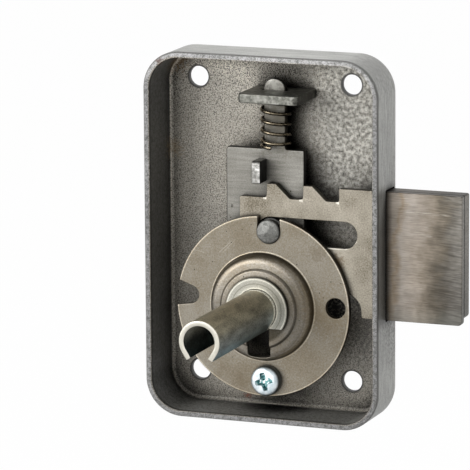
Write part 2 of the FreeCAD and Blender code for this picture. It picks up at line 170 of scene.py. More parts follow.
def add_node(
    tree: bpy.types.NodeTree,
    kind: Node,
    *values: object,
    out: str = "",
    stops: Stops = (),
    **named: object,
) -> Socket | None:
    """Adds one node with its settings and links.

    Args:
        tree: The node tree to add to.
        kind: What the node does.
        *values: A socket, a value, a hex colour or None for each live input, in their order.
        out: The name of the output that is asked for, if that isn't the first live one.
        stops: Places and hex colours for a ramp.
        **named: Inputs and settings by their names.

    Returns:
        The socket of that output, or None where the node has none.
    """
    suffix, *settings = kind.value
    node = tree.nodes.new("ShaderNode" + suffix)
    for name, value in settings:
        setattr(node, name, value)
    fed = list(zip([socket for socket in node.inputs if socket.enabled], values))
    for name, value in named.items():
        if name in node.inputs:
            fed.append((node.inputs[name], value))
        else:
            setattr(node, name, value)
    for socket, value in fed:
        if isinstance(value, Socket):
            tree.links.new(value, socket)
        elif value is not None:
            socket.default_value = linear(value) if isinstance(value, str) else value
    for number, (place, code) in enumerate(stops):
        elements = node.color_ramp.elements
        element = elements[number] if number < len(elements) else elements.new(place)
        element.position, element.color = place, linear(code)
    if out:
        return node.outputs[out]
    return next((socket for socket in node.outputs if socket.enabled), None)


class Ground:
    """What a finish knows of the piece under it.

    It holds the function that adds a node, the place in metres, the same in millimetres (spot, with x, y
    and z), and the way that the surface faces (normal, with its parts to the right, to the back and up).
    """

    def __init__(self, tree: bpy.types.NodeTree) -> None:
        """Adds the nodes that give the place and the way.

        Args:
            tree: The finish's node tree.
        """
        self.add = add = partial(add_node, tree)
        self.place = add(Node.PLACES, out="Object")
        self.normal = add(Node.PLACES, out="Normal")
        self.spot = add(Node.STRETCH, self.place, (1 / MM,) * 3)
        self.x, self.y, self.z = (add(Node.PART, self.spot, out=axis) for axis in "XYZ")
        self.right, self.back, self.up = (add(Node.PART, self.normal, out=axis) for axis in "XYZ")
        self.toward = add(Node.SIZE, self.back)

    def radius(self, x: float = 0.0, z: float = 0.0) -> Socket:
        """Gives the distance from an axis that runs along Y."""
        away = self.add(Node.FROM, self.spot, (x, 0.0, z))
        return self.add(Node.LENGTH, self.add(Node.STRETCH, away, FLAT))


@dataclass(frozen=True)
class Marks:
    """Marks of rolling, grinding or spraying: noise of a real size that can be drawn out one way."""

    size: float
    grain: Grain = Grain.NONE
    detail: float = 2.0
    shift: float = 0.0
    tilt: float = 0.0

    def on(self, ground: Ground) -> Socket:
        """Adds the marks.

        Args:
            ground: The piece under them.

        Returns:
            A value that varies around 0.5.
        """
        add, place = ground.add, ground.place
        if self.tilt:
            place = add(Node.TURN, place, None, AXIS, math.radians(self.tilt))
        drawn = add(Node.MAPPING, place, (self.shift,) * 3, None, self.grain.value)
        return add(Node.NOISE, drawn, 1.0 / (self.size * MM), self.detail)


@dataclass(frozen=True)
class Scratch:
    """A straight scratch, as it is seen from the front."""

    start: Spot
    end: Spot
    width: float = 0.12
    full: float = 0.7

    def on(self, ground: Ground) -> Socket:
        """Adds the scratch.

        Args:
            ground: The piece under it.

        Returns:
            A share that is 1 in the middle of the scratch.
        """
        add = ground.add
        run = Vector((self.end[0] - self.start[0], 0.0, self.end[1] - self.start[1]))
        way, half = run.normalized(), run.length / 2
        near = add(Node.FROM, ground.spot, (self.start[0], 0.0, self.start[1]))
        across = add(Node.SIZE, add(Node.ALONG, near, (-way.z, 0.0, way.x)))
        along = add(Node.SIZE, add(Node.MINUS, add(Node.ALONG, near, way), half))
        thin = add(Node.SPAN, across, self.width, 0.0)
        return add(Node.TIMES, thin, add(Node.SPAN, along, half, half * self.full))


@dataclass(frozen=True)
class StainOrShade:
    """A ragged patch round a point: rust, old oily dirt, painted shade or painted light."""

    middle: Place
    reach: float
    tone: str
    strength: float = 0.8
    full: float = 0.3
    ragged: Marks = Marks(0.7, detail=3.0, shift=3.0)
    swing: Spot = (0.35, 0.65)

    def over(self, colour: Socket, ground: Ground) -> Socket:
        """Lays the patch over a colour.

        Args:
            colour: The colour under it.
            ground: The piece under it.

        Returns:
            The stained colour.
        """
        add, half = ground.add, self.reach / 2
        wild = add(Node.SPAN, self.ragged.on(ground), *self.swing, -half, half)
        away = add(Node.PLUS, add(Node.DISTANCE, ground.spot, self.middle), wild)
        share = add(Node.SPAN, away, self.reach, self.reach * self.full, 0.0, self.strength)
        return add(Node.BLEND, share, colour, self.tone)


@dataclass(frozen=True)
class Finish:
    """A finish that is made once and shared by the pieces that have it.

    A span is two values, and what the finish gives at the one and at the other: 0 and 1 where it doesn't say.
    """

    name: str

    def material(self) -> bpy.types.Material:
        """Makes the finish's material when it is first asked for.

        Returns:
            The material.
        """
        made = bpy.data.materials.get(self.name)
        if made is None:
            made = bpy.data.materials.new(self.name)
            made.use_nodes = True
            made.node_tree.nodes.clear()
            ground = Ground(made.node_tree)
            ground.add(Node.SURFACE, ground.add(Node.METAL, **self.look(ground)))
        return made

    def look(self, ground: Ground) -> Look:
        """Adds the finish's nodes.

        Args:
            ground: The piece under the finish.

        Returns:
            What the shader's inputs get.
        """
        raise NotImplementedError


@dataclass(frozen=True)
class HammeredEnamel(Finish):
    """Grey stoving enamel sprayed over drawn sheet: it dries into a fine pebbled, speckled film.

    The film is thick on the floor, in light blotches beside the tumbler. The outside walls are thinly coated
    and show the draw marks of the press; the walls and corners inside carry painted shade.
    """

    name: str = "enamel_hammered_grey"
    middle: Place = (1.1, 7.0, 17.0)
    pebble: Marks = Marks(0.3, detail=2.0)
    blotch: Marks = Marks(0.95, detail=1.0, shift=0.3)
    cloud: Marks = Marks(14.0, detail=1.0, shift=0.7)
    upright: Marks = Marks(0.45, Grain.UPRIGHT, detail=3.0, shift=1.1)
    lengthways: Marks = Marks(0.45, Grain.LENGTHWAYS, detail=3.0, shift=1.6)
    specks: Stops = ((0.35, "#312E28"), (0.43, "#87827A"), (0.51, "#B3ADA0"), (0.64, "#D3CEC2"))
    blotches: Stops = ((0.32, "#45433D"), (0.44, "#84827B"), (0.54, "#B3B1A9"), (0.66, "#DBD9D2"))
    rim: Stops = ((0.4, "#73736F"), (0.47, "#A1A09D"), (0.54, "#B9B8B6"), (0.61, "#CFCECD"))
    draw_marks: Stops = ((0.3, "#6A6A66"), (0.5, "#999995"), (0.7, "#B8B8B4"))
    specks_in_blotches: float = 0.35
    blotches_in_rim: float = 0.4
    specks_in_marks: float = 0.4
    blotched: tuple[Span, Span] = ((5.0, 15.0), (8.0, 28.0))
    smooth: Span = (56.0, 44.0, 0.0, 0.3)
    smooth_tone: str = "#A29C90"
    level: Span = (0.5, 0.85)
    bevelled: Span = (0.0, 0.5, 1.0, 0.72)
    on_rim: Span = (0.0, 4.0)
    outside: Span = (10.0, 20.0)
    inside: Span = (-10.0, -20.0)
    steep: Span = (0.65, 0.35)
    # Painted shade on the walls inside, lighter where they face up and to the left.
    inner_shade_share: float = 0.68
    inner_shade_tone: str = "#35342B"
    inner_light_way: Place = (-0.35, 0.0, 0.6)
    hole_middle: Place = (0.0, 0.0, 17.525)
    hole_half: Place = (19.8, 0.0, 36.525)
    hole_lip: Span = (3.1, 2.75, 0.0, 0.9)
    lip_tone: str = "#1B1A17"
    by_bolt: tuple[Span, Span, Span] = ((30.95, 31.05, 0.0, 0.62), (-3.5, -1.5), (32.0, 30.0))
    bolt_tone: str = "#262624"
    # Darker along the front of the walls, most just behind the rim's edge.
    front_band: Stops = ((0.03, "#C4C4C6"), (0.08, "#66655F"), (0.36, "#74736D"), (0.6, "#FFFFFF"))
    front_band_reach: Span = (0.0, 2.0)
    front_band_share: float = 0.85
    # Painted shade in corners and recesses, from how open they are.
    nook: float = 9.0
    nook_shade: Stops = ((0.37, "#000000"), (0.49, "#666666"), (0.6, "#D2D2D2"), (0.76, "#FFFFFF"))
    cloudy: Span = (0.3, 0.7, 0.88, 1.1)
    # Darker towards the bottom; painted light near the top inside.
    down: Span = (-28.0, 30.0, 0.84, 1.0)
    high: Span = (53.0, 58.0, 1.0, 1.7)
    slope: Span = (0.85, 0.75)
    bend: Span = (0.0, -4.0)
    bend_light: Span = (-20.0, 30.0, 0.7, 1.5)
    # Painted shade on the floor under the disc.
    under_boss: Span = (14.0, 12.0, 0.0, 0.8)
    floor_y: float = 14.0
    pebble_rise: Spot = (0.05, 0.7)
    blotch_rise: Spot = (0.1, 0.5)
    gloss: Span = (0.4, 0.8, 0.0, 0.5)
    roughness: float = 0.45
    stains_and_shade: tuple[StainOrShade, ...] = (
        StainOrShade((-24.6, 0.3, 59.6), 1.3, "#54280E", 0.75),
        StainOrShade((-25.6, 13.4, 58.0), 4.0, "#7D6546", 0.4),
        StainOrShade((-26.6, 13.4, 36.0), 3.0, "#8A7656", 0.4),
        StainOrShade((-7.5, 13.4, -24.6), 1.1, "#74402A", 0.7),
        # The last two are painted shade: the dark floor below the bolt, and black seen through the disc's
        # right hole.
        StainOrShade((24.5, 13.4, -4.0), 12.0, "#1E1B15", 0.6),
        StainOrShade((15.0, 13.4, -1.1), 5.0, "#060605", 0.95),
    )

    def look(self, ground: Ground) -> Look:
        """Adds the speckled film, the draw marks on the walls, and the painted shade and light inside.

        Args:
            ground: The piece under the finish.

        Returns:
            What the shader's inputs get.
        """
        add, x, z = ground.add, ground.x, ground.z
        pebble, blotch, cloud = (marks.on(ground) for marks in (self.pebble, self.blotch, self.cloud))
        out = add(Node.ALONG, add(Node.FROM, ground.spot, self.middle), ground.normal)
        on_rim, outside, inside, bend = (
            add(Node.SPAN, out, *span) for span in (self.on_rim, self.outside, self.inside, self.bend))

        # The film of the floor and the rim.
        specks = add(Node.RAMP, pebble, stops=self.specks)
        blotches = add(Node.RAMP, blotch, stops=self.blotches)
        blotches = add(Node.BLEND, self.specks_in_blotches, blotches, specks)
        film = add(Node.BLEND, add(Node.SPAN, z, *self.smooth), specks, self.smooth_tone)
        beside = add(Node.TIMES, *(add(Node.SPAN, way, *span) for way, span in zip((x, z), self.blotched)))
        film = add(Node.BLEND, beside, film, blotches)
        rim = add(Node.RAMP, add(Node.MIX, self.blotches_in_rim, pebble, blotch), stops=self.rim)
        film = add(Node.BLEND, on_rim, film, rim)

        # The draw marks outside, and painted shade on the walls inside, lighter where they face up and left.
        level = add(Node.SPAN, add(Node.SIZE, ground.up), *self.level)
        marks = add(Node.MIX, level, self.upright.on(ground), self.lengthways.on(ground))
        wall = add(Node.RAMP, add(Node.MIX, self.specks_in_marks, marks, pebble), stops=self.draw_marks)
        corner = add(Node.SIZE, add(Node.TIMES, ground.right, ground.up))
        wall = add(Node.TINT, 1.0, wall, add(Node.SPAN, corner, *self.bevelled))
        walls = add(Node.TIMES, inside, add(Node.SPAN, ground.toward, *self.steep))
        inner_shade_colour = add(Node.BLEND, self.inner_shade_share, rim, self.inner_shade_tone)
        light = add(Node.PLUS, add(Node.ALONG, ground.normal, self.inner_light_way), 1.0)
        colour = add(Node.BLEND, outside, film, wall)
        colour = add(Node.BLEND, walls, colour, add(Node.TINT, 1.0, inner_shade_colour, light))

        # Dark lips round the screw holes, the bolt's painted shadow, and a darker band along the front of the
        # walls.
        near = add(Node.SIZES, add(Node.FROM, ground.spot, self.hole_middle))
        near = add(Node.LENGTH, add(Node.STRETCH, add(Node.FROM, near, self.hole_half), FLAT))
        colour = add(Node.BLEND, add(Node.SPAN, near, *self.hole_lip), colour, self.lip_tone)
        side, low, high = (add(Node.SPAN, way, *span) for way, span in zip((x, z, z), self.by_bolt))
        colour = add(Node.BLEND, add(Node.TIMES, add(Node.TIMES, side, low), high), colour, self.bolt_tone)
        front_band = add(Node.RAMP, add(Node.SPAN, ground.y, *self.front_band_reach), stops=self.front_band)
        colour = add(Node.TINT, self.front_band_share, colour, front_band)

        # Painted shade in corners, recesses and under the disc, darker low down, with painted light up high
        # and on bends.
        open_air = add(Node.OPEN_AIR, None, self.nook * MM, out="AO", samples=8)
        tone = add(Node.RAMP, open_air, stops=self.nook_shade)
        high = add(Node.MIX, outside, add(Node.SPAN, z, *self.high), 1.0)
        for factor in (add(Node.SPAN, cloud, *self.cloudy), add(Node.SPAN, z, *self.down), high):
            tone = add(Node.TIMES, tone, factor)
        bend = add(Node.TIMES, bend, add(Node.SPAN, ground.toward, *self.slope))
        bend = add(Node.MINUS, bend, walls, use_clamp=True)
        tone = add(Node.MIX, bend, tone, add(Node.SPAN, z, *self.bend_light))
        # Painted shade on the floor under the disc.
        dark = add(Node.SPAN, ground.radius(), *self.under_boss)
        dark = add(Node.TIMES, dark, add(Node.BELOW, ground.y, self.floor_y))
        colour = add(Node.TINT, 1.0, colour, add(Node.MIX, dark, tone, 0.0))
        # Rust and brown marks, and two patches of painted shade.
        for stain_or_shade in self.stains_and_shade:
            colour = stain_or_shade.over(colour, ground)

        bump = None
        for marks, (rise, strength) in ((pebble, self.pebble_rise), (blotch, self.blotch_rise)):
            bump = add(Node.BUMP, Height=marks, Distance=rise * MM, Strength=strength, Normal=bump)
        gloss = add(Node.SPAN, open_air, *self.gloss)
        return {"Base Color": colour, "Normal": bump, "Roughness": self.roughness, "Metallic": 0.0,
                "Specular IOR Level": gloss}


@dataclass(frozen=True)
class BareSteel(Finish):
    """Mild steel left bare after stamping: dull, with fine specks, a few pits, and painted shade where pieces
    meet.
    """

    tones: Stops = ((0.38, "#857B6A"), (0.48, "#8F8778"), (0.6, "#9C968A"))
    pit_tone: str = "#3B362C"
    pits: float = 0.4
    pit: Span = (0.09, 0.04)
    speck: Marks = Marks(0.28, detail=3.0)
    specked: Span = (0.3, 0.7, 0.8, 1.16)
    grain: Marks = Marks(0.45, detail=2.0, shift=0.4)
    cloud: Marks = Marks(9.0, shift=0.9)
    grained: Spot = (0.3, 0.7)
    rough: Spot = (0.42, 0.54)
    relief: float = 0.012
    # Painted shade where pieces meet, on side faces, on faces turned down and on faces turned right and down.
    contact: float = 0.8
    contact_shade: Span = (0.3, 0.9, 0.25, 1.0)
    sides: float = 0.6
    turn: Spot = (0.5, 0.95)
    unders: float = 1.0
    under: Spot = (-0.5, 0.5)
    lee: float = 0.75
    lee_turn: Spot = (0.15, 0.75)
    lee_way: Place = (0.85, 0.0, -0.5)
    cell: float = 2.6
    facet: float = 0.0
    stains_and_shade: tuple[StainOrShade, ...] = ()
    scratches: tuple[Scratch, ...] = ()
    scratch_tone: str = "#B9B4A8"
    scratch_share: float = 0.45
    # Rings of painted highlight and painted shade round the axis, and painted light and shade across the
    # boss.
    rings: Stops = ()
    rings_reach: float = 24.0
    rings_gain: float = 2.0
    boss: Span = (0.56, 0.545)
    outer: Span = (0.5, 0.525)
    shelf_way: Place = (0.35, 0.0, -0.94)
    shelf: Span = (-11.0, -3.0, 1.35, 0.6)
    wall: Span = (-9.0, 11.0, 0.5, 1.5)

    def look(self, ground: Ground) -> Look:
        """Adds the steel's tone, specks, pits, painted shade and soft relief.

        Args:
            ground: The piece under the finish.

        Returns:
            What the shader's inputs get.
        """
        add = ground.add
        grain, cloud, speck = (marks.on(ground) for marks in (self.grain, self.cloud, self.speck))
        colour = add(Node.RAMP, add(Node.MIX, EVENLY, grain, cloud), stops=self.tones)
        cells = add(Node.CELLS, ground.place, 1.0 / (self.cell * MM))
        chance = add(Node.CHANNEL, cells.node.outputs["Color"])
        pit = add(Node.TIMES, add(Node.SPAN, cells, *self.pit), add(Node.BELOW, chance, self.pits))
        colour = add(Node.BLEND, pit, colour, self.pit_tone)

        # Painted shade where pieces meet, on faces turned down, right and sideways; the cells vary the tone
        # at random.
        open_air = add(Node.OPEN_AIR, None, self.contact * MM, out="AO", samples=6)
        tone = add(Node.SPAN, speck, *self.specked)
        for factor in (
            add(Node.SPAN, open_air, *self.contact_shade),
            add(Node.SPAN, ground.up, *self.under, self.unders),
            add(Node.SPAN, chance, 0.0, 1.0, 1.0 - self.facet, 1.0 + self.facet),
            add(Node.SPAN, add(Node.ALONG, ground.normal, self.lee_way), *self.lee_turn, 1.0, self.lee),
            add(Node.SPAN, ground.toward, *self.turn, self.sides, 1.0),
        ):
            tone = add(Node.TIMES, tone, factor)
        colour = add(Node.TINT, 1.0, colour, tone)
        # Rings of painted highlight and painted shade.
        if self.rings:
            colour = self.turned(colour, ground)
        for scratch in self.scratches:
            share = add(Node.TIMES, scratch.on(ground), self.scratch_share)
            colour = add(Node.BLEND, share, colour, self.scratch_tone)
        # Marks, and patches of painted shade and painted light.
        for stain_or_shade in self.stains_and_shade:
            colour = stain_or_shade.over(colour, ground)
        bump = add(Node.BUMP, Height=speck, Distance=self.relief * MM)
        rough = add(Node.SPAN, grain, *self.grained, *self.rough)
        return {"Base Color": colour, "Roughness": rough, "Normal": bump, "Metallic": 1.0}

    def turned(self, colour: Socket, ground: Ground) -> Socket:
        """Adds rings of painted highlight and shade to a turned or pressed piece, and painted light on the
        steps of its boss.

        Args:
            colour: The colour under them.
            ground: The piece under the finish.

        Returns:
            The colour with the rings.
        """
        add = ground.add
        away = add(Node.SPAN, ground.radius(), 0.0, self.rings_reach)
        shelf, wall = (
            add(Node.SPAN, add(Node.ALONG, ground.spot, way), *span)
            for way, span in ((self.shelf_way, self.shelf), (self.lee_way, self.wall)))
        lean = add(Node.MIX, add(Node.SPAN, away, *self.outer), shelf, wall)
        lean = add(Node.MIX, add(Node.SPAN, away, *self.boss), 1.0, lean)
        for factor in (lean, add(Node.RAMP, away, stops=self.rings), (self.rings_gain,) * 3 + (1.0,)):
            colour = add(Node.TINT, 1.0, colour, factor)
        return colour


@dataclass(frozen=True)
class BrushedBoltSteel(Finish):
    """Bolt steel: dull and specked inside the case, brushed lengthways and heat-tinted on the head."""

    name: str = "steel_bolt_brushed"
    head: Span = (30.0, 50.2)
    head_start: Span = (30.0, 31.0)
    joint_y: float = 8.0
    scratches: tuple[Scratch, ...] = (
        Scratch((33.0, 25.4), (48.0, 25.2), 0.35), Scratch((39.0, 20.0), (43.0, 19.9), 0.4),
        Scratch((38.0, 22.1), (42.0, 22.0), 0.3),
    )
    scratch_tone: str = "#B4AFA5"
    # Painted glints: on burrs at the teeth's roots and along the edges of the guide slot.
    burrs_and_edge_glints: tuple[Scratch, ...] = (
        Scratch((-0.4, 26.55), (0.5, 26.35), 0.4), Scratch((8.8, 26.5), (9.9, 26.3), 0.45),
        Scratch((18.2, 26.55), (19.2, 26.35), 0.4), Scratch((2.0, 15.15), (21.5, 15.15), 0.25),
        Scratch((20.5, 15.0), (23.8, 17.4), 0.3),
    )
    glint_tone: str = "#D2CEC2"
    stain_or_shade: StainOrShade = StainOrShade((18.5, 6.2, 11.5), 2.6, "#5A4322", 0.45)
    speck: Marks = Marks(0.35, detail=3.0, shift=2.0)
    cloud: Marks = Marks(6.0, shift=0.2)
    brush: Marks = Marks(0.15, Grain.DRAWN, detail=3.0, shift=0.5)
    waver: Marks = Marks(5.0, detail=4.0, shift=1.9)
    ripple: Marks = Marks(0.42, Grain.LENGTHWAYS, detail=2.0, shift=2.7, tilt=-7.0)
    patch: Marks = Marks(4.0, detail=3.0, shift=4.1)
    dull: Stops = ((0.36, "#696255"), (0.44, "#827C70"), (0.53, "#8F897D"), (0.64, "#9E988C"))
    brushed: Stops = ((0.3, "#87817A"), (0.5, "#938D86"), (0.7, "#9E9892"))
    tint: Stops = (
        (0.09, "#FFFAF3"), (0.15, "#F3E5D0"), (0.25, "#FFFDFA"), (0.45, "#EFEAE3"), (0.6, "#D2CBBF"),
        (0.74, "#AFAA9E"), (0.84, "#ABABA6"), (1.0, "#CDD0D0"),
    )
    tint_share: float = 0.9
    wavering: Span = (0.2, 0.8, -0.16, 0.16)
    lower: Span = (24.0, 2.0, -0.03, 0.05)
    deeper: Span = (24.0, 4.0, 1.06, 0.62)
    aside: Span = (0.5, 0.7)
    patched: Span = (0.35, 0.65, 0.86, 1.1)
    rippled: Span = (0.4, 0.6, 0.62, 1.15)
    ripple_share: Span = (0.5, 0.85, 0.0, 0.7)
    shaded: Span = (31.1, 32.6, 0.36)
    foot: Span = (3.0, -3.0, 0.0, 0.45)
    foot_tone: str = "#6F716B"
    # Painted shade where pieces meet and on faces turned up.
    contact: float = 1.5
    contact_shade: Span = (0.4, 0.85, 0.1, 1.0)
    above: Span = (0.15, 0.6, 1.0, 0.3)
    joint: Span = (0.15, 0.35, 0.08)
    facing: float = -0.6
    worn: Span = (0.4, 0.6, 0.0, 0.6)
    relief: float = 0.006
    rough: Span = (0.3, 0.7, 0.54, 0.42)

    def look(self, ground: Ground) -> Look:
        """Adds the two looks, split at the case's wall.

        Args:
            ground: The piece under the finish.

        Returns:
            What the shader's inputs get.
        """
        add, x, z = ground.add, ground.x, ground.z
        speck, cloud, brush, waver, ripple, patch = (
            marks.on(ground)
            for marks in (self.speck, self.cloud, self.brush, self.waver, self.ripple, self.patch))
        outside = add(Node.SPAN, x, *self.head_start)
        along = add(Node.SPAN, x, *self.head)
        for bit in (add(Node.SPAN, waver, *self.wavering), add(Node.SPAN, z, *self.lower)):
            along = add(Node.PLUS, along, bit)
        head = add(Node.TINT, self.tint_share, add(Node.RAMP, brush, stops=self.brushed),
                   add(Node.RAMP, along, stops=self.tint))
        for share, factor in (
            (1.0, add(Node.MIX, add(Node.SPAN, along, *self.aside), 1.0, add(Node.SPAN, z, *self.deeper))),
            (1.0, add(Node.SPAN, patch, *self.patched)),
            (add(Node.SPAN, along, *self.ripple_share), add(Node.SPAN, ripple, *self.rippled)),
            (1.0, add(Node.SPAN, x, *self.shaded)),
        ):
            head = add(Node.TINT, share, head, factor)
        head = add(Node.BLEND, add(Node.SPAN, z, *self.foot), head, self.foot_tone)
        dull = add(Node.RAMP, add(Node.MIX, EVENLY, speck, cloud), stops=self.dull)
        colour = add(Node.BLEND, outside, dull, head)

        # Painted shade where pieces meet and on faces turned up, and a dark line at the joint.
        open_air = add(Node.OPEN_AIR, None, self.contact * MM, out="AO", samples=6)
        joint = add(Node.SIZE, add(Node.MINUS, ground.y, self.joint_y))
        for value, span in ((open_air, self.contact_shade), (ground.up, self.above), (joint, self.joint)):
            colour = add(Node.TINT, 1.0, colour, add(Node.SPAN, value, *span))
        colour = self.stain_or_shade.over(colour, ground)
        front = add(Node.BELOW, ground.back, self.facing)
        worn = add(Node.TIMES, add(Node.SPAN, brush, *self.worn), front)
        # Scratches on the worn front, and painted glints on the burrs and the slot's edges.
        for scratches, share, tone in (
            (self.scratches, worn, self.scratch_tone), (self.burrs_and_edge_glints, front, self.glint_tone),
        ):
            for scratch in scratches:
                colour = add(Node.BLEND, add(Node.TIMES, scratch.on(ground), share), colour, tone)
        relief = add(Node.MIX, outside, speck, brush)
        bump = add(Node.BUMP, Height=relief, Distance=self.relief * MM)
        rough = add(Node.SPAN, relief, *self.rough)
        return {"Base Color": colour, "Roughness": rough, "Normal": bump, "Metallic": 1.0}


@dataclass(frozen=True)
class TubeSteel(Finish):
    """Rolled tube steel: oily olive-grey, with painted reflection and shade by height, a painted highlight at
    its root and a bright sawn end.
    """

    name: str = "steel_tube_oiled"
    smear: Marks = Marks(2.2, Grain.INWARD, detail=5.0, shift=0.6)
    grain: Marks = Marks(0.4, detail=2.0, shift=1.4)
    # Colour by height round the tube: its olive-grey with painted reflection and shade, light and bluish in
    # the lower middle.
    height: Span = (-5.1, 5.1)
    film: Stops = ((0.0, "#4C6462"), (0.2, "#74868A"), (0.45, "#959B98"), (0.7, "#918D7C"), (1.0, "#867E68"))
    smeared: Span = (0.38, 0.62, 0.5, 1.3)
    sawn: Span = (-36.8, -36.85)
    sawn_tone: str = "#BEBBB0"
    # Painted highlight round the tube's root, where it meets the collar.
    root: Span = (-1.3, -1.2)
    ragged: Span = (0.38, 0.44)
    root_tone: str = "#EFEDE4"
    relief: float = 0.02
    roughness: float = 0.42

    def look(self, ground: Ground) -> Look:
        """Adds long smears along the tube, painted reflection and shade by height, the painted highlight at
        its root and the bright end.

        Args:
            ground: The piece under the finish.

        Returns:
            What the shader's inputs get.
        """
        add = ground.add
        smear, grain = (marks.on(ground) for marks in (self.smear, self.grain))
        # Painted reflection and shade by height, over the tube's olive-grey.
        side = add(Node.RAMP, add(Node.SPAN, ground.z, *self.height), stops=self.film)
        side = add(Node.TINT, 1.0, side, add(Node.SPAN, add(Node.MIX, EVENLY, smear, grain), *self.smeared))
        # Painted highlight round the root.
        root = add(Node.TIMES, add(Node.SPAN, ground.y, *self.root), add(Node.SPAN, grain, *self.ragged))
        colour = add(Node.BLEND, root, side, self.root_tone)
        colour = add(Node.BLEND, add(Node.SPAN, ground.y, *self.sawn), colour, self.sawn_tone)
        bump = add(Node.BUMP, Height=grain, Distance=self.relief * MM)
        return {"Base Color": colour, "Normal": bump, "Roughness": self.roughness, "Metallic": 1.0}


@dataclass(frozen=True)
class ZincPlate(Finish):
    """Bright zinc plate, blue-white, with the passivation's teal left in the recess, painted glints and shade
    in the recess, and painted shade on the head's side.
    """

    name: str = "zinc_blue_white"
    middle: Spot = (1.15, -18.1)
    cloud: Marks = Marks(1.4, shift=0.8)
    # Noise for the recess: teal, with painted glints and painted shade.
    recess_marks: Marks = Marks(0.75, detail=1.0, shift=5.3)
    plate: Stops = ((0.3, "#B4C0C6"), (0.5, "#CFD8DC"), (0.7, "#E6EBED"))
    teal_glints_and_shade: Stops = ((0.35, "#16201F"), (0.41, "#5C8C8E"), (0.55, "#84B2B3"), (0.62, "#FFFFFF"))
    core: Span = (2.6, 2.3)
    deep: Span = (2.05, 2.45)
    # Painted shade on the head's rounded side.
    turn: Span = (0.4, 0.75, 0.18, 1.0)
    roughness: float = 0.46

    def look(self, ground: Ground) -> Look:
        """Adds the plate's soft clouds, the tinted recess with painted glints and shade, and painted shade on
        the head's side.

        Args:
            ground: The piece under the finish.

        Returns:
            What the shader's inputs get.
        """
        add = ground.add
        plate = add(Node.RAMP, self.cloud.on(ground), stops=self.plate)
        teal_glints_and_shade = add(Node.RAMP, self.recess_marks.on(ground), stops=self.teal_glints_and_shade)
        core = add(Node.SPAN, ground.radius(*self.middle), *self.core)
        colour = add(Node.BLEND, add(Node.TIMES, core, add(Node.SPAN, ground.y, *self.deep)), plate, teal_glints_and_shade)
        # Painted shade on the head's rounded side.
        turned = add(Node.MIX, core, add(Node.SPAN, ground.toward, *self.turn), 1.0)
        colour = add(Node.TINT, 1.0, colour, turned)
        return {"Base Color": colour, "Roughness": self.roughness, "Metallic": 1.0}


ENAMEL = HammeredEnamel()
TUBE_STEEL = TubeSteel()
ZINC = ZincPlate()
BOLT_STEEL = BrushedBoltSteel()
# Rings of painted highlight and painted shade on the boss's bends and the disc's edge; the wide brown patch
# on the right is painted shade.
DISC_STEEL = BareSteel(
    "steel_disc", contact=0.6, sides=0.9, lee=1.0, pits=1.0, cell=2.2,
    rings=(
        (0.33, "#80807E"), (0.36, "#C2C3C7"), (0.395, "#BBBCC0"), (0.407, "#939393"), (0.422, "#B7B8BB"),
        (0.46, "#B7B8BC"), (0.505, "#ADADAF"), (0.518, "#908E8A"), (0.53, "#B4B2AF"), (0.546, "#625F59"),
        (0.552, "#6E6B65"), (0.562, "#E8E8E8"), (0.572, "#A2A2A2"), (0.91, "#A2A2A2"), (0.918, "#E4E4E4"),
        (0.925, "#E4E4E4"), (0.9288, "#3A3835"),
    ),
    scratches=(
        Scratch((-11.4, 12.5), (-8.0, 15.6)), Scratch((-10.5, 12.4), (-7.1, 15.9), 0.1),
        Scratch((-18.3, 12.9), (-14.9, 12.3), 0.1),
    ),
    stains_and_shade=(
        StainOrShade((14.5, 4.5, 14.0), 2.8, "#5E5240", 0.35), StainOrShade((17.0, 4.5, 0.0), 8.0, "#6A5C45", 0.3),
        StainOrShade((-6.0, 4.5, -18.6), 2.6, "#5E5240", 0.3),
    ))
POST_STEEL = BareSteel(
    "steel_post", ((0.3, "#5C5C59"), (0.5, "#757572"), (0.7, "#8C8C88")), pits=0.0, rough=(0.5, 0.62),
    cell=1.1, facet=0.28)
# Both dark patches are painted shade: over the lug's right end and by the stem's hole.
BRACKET_STEEL = BareSteel(
    "steel_bracket", ((0.4, "#6E6E69"), (0.5, "#87877F"), (0.6, "#A3A29C")), sides=0.9, unders=0.5,
    speck=Marks(0.5, detail=3.0), grain=Marks(0.8, detail=3.0, shift=0.4), cloud=Marks(2.0, shift=0.9),
    stains_and_shade=(StainOrShade((11.2, 6.5, 52.4), 8.0, "#211F1B", 0.62), StainOrShade((-1.5, 9.0, 52.6), 1.6, "#24231F", 0.7)))
# The rings are painted: shade where the tube meets the collar, highlights on its inner and outer edges, dark
# lines between.
COLLAR_STEEL = BareSteel(
    "steel_collar", ((0.3, "#9E9C92"), (0.5, "#ADABA1"), (0.7, "#BAB8AE")), pits=0.0, rough=(0.4, 0.5),
    contact=0.3, rings_reach=8.0,
    rings=((0.645, "#484846"), (0.665, "#E0E0E0"), (0.72, "#BCBCBC"), (0.79, "#B0B0B0"), (0.81, "#84847F"),
           (0.83, "#B0B0B0"), (0.92, "#B0B0B0"), (0.95, "#ECECEC"), (0.985, "#7A7A78")))
# Painted shade on the stem inside the spring and on the plate's sides, and painted light on the stem's head
# above the bracket.
TUMBLER_STEEL = BareSteel(
    "steel_tumbler", ((0.3, "#65635D"), (0.5, "#7C7A74"), (0.7, "#918F89")), contact=3.0, sides=0.15,
    turn=(0.7, 0.98), grain=Marks(0.5, Grain.LENGTHWAYS, detail=3.0, shift=0.4),
    stains_and_shade=(StainOrShade((1.9, 8.15, 45.0), 8.0, "#504A3E", 0.45), StainOrShade((-9.4, 8.15, 23.5), 0.5, "#2A2620", 0.9),
            StainOrShade((1.7, 8.15, 54.4), 2.2, "#93928C", 0.8)))
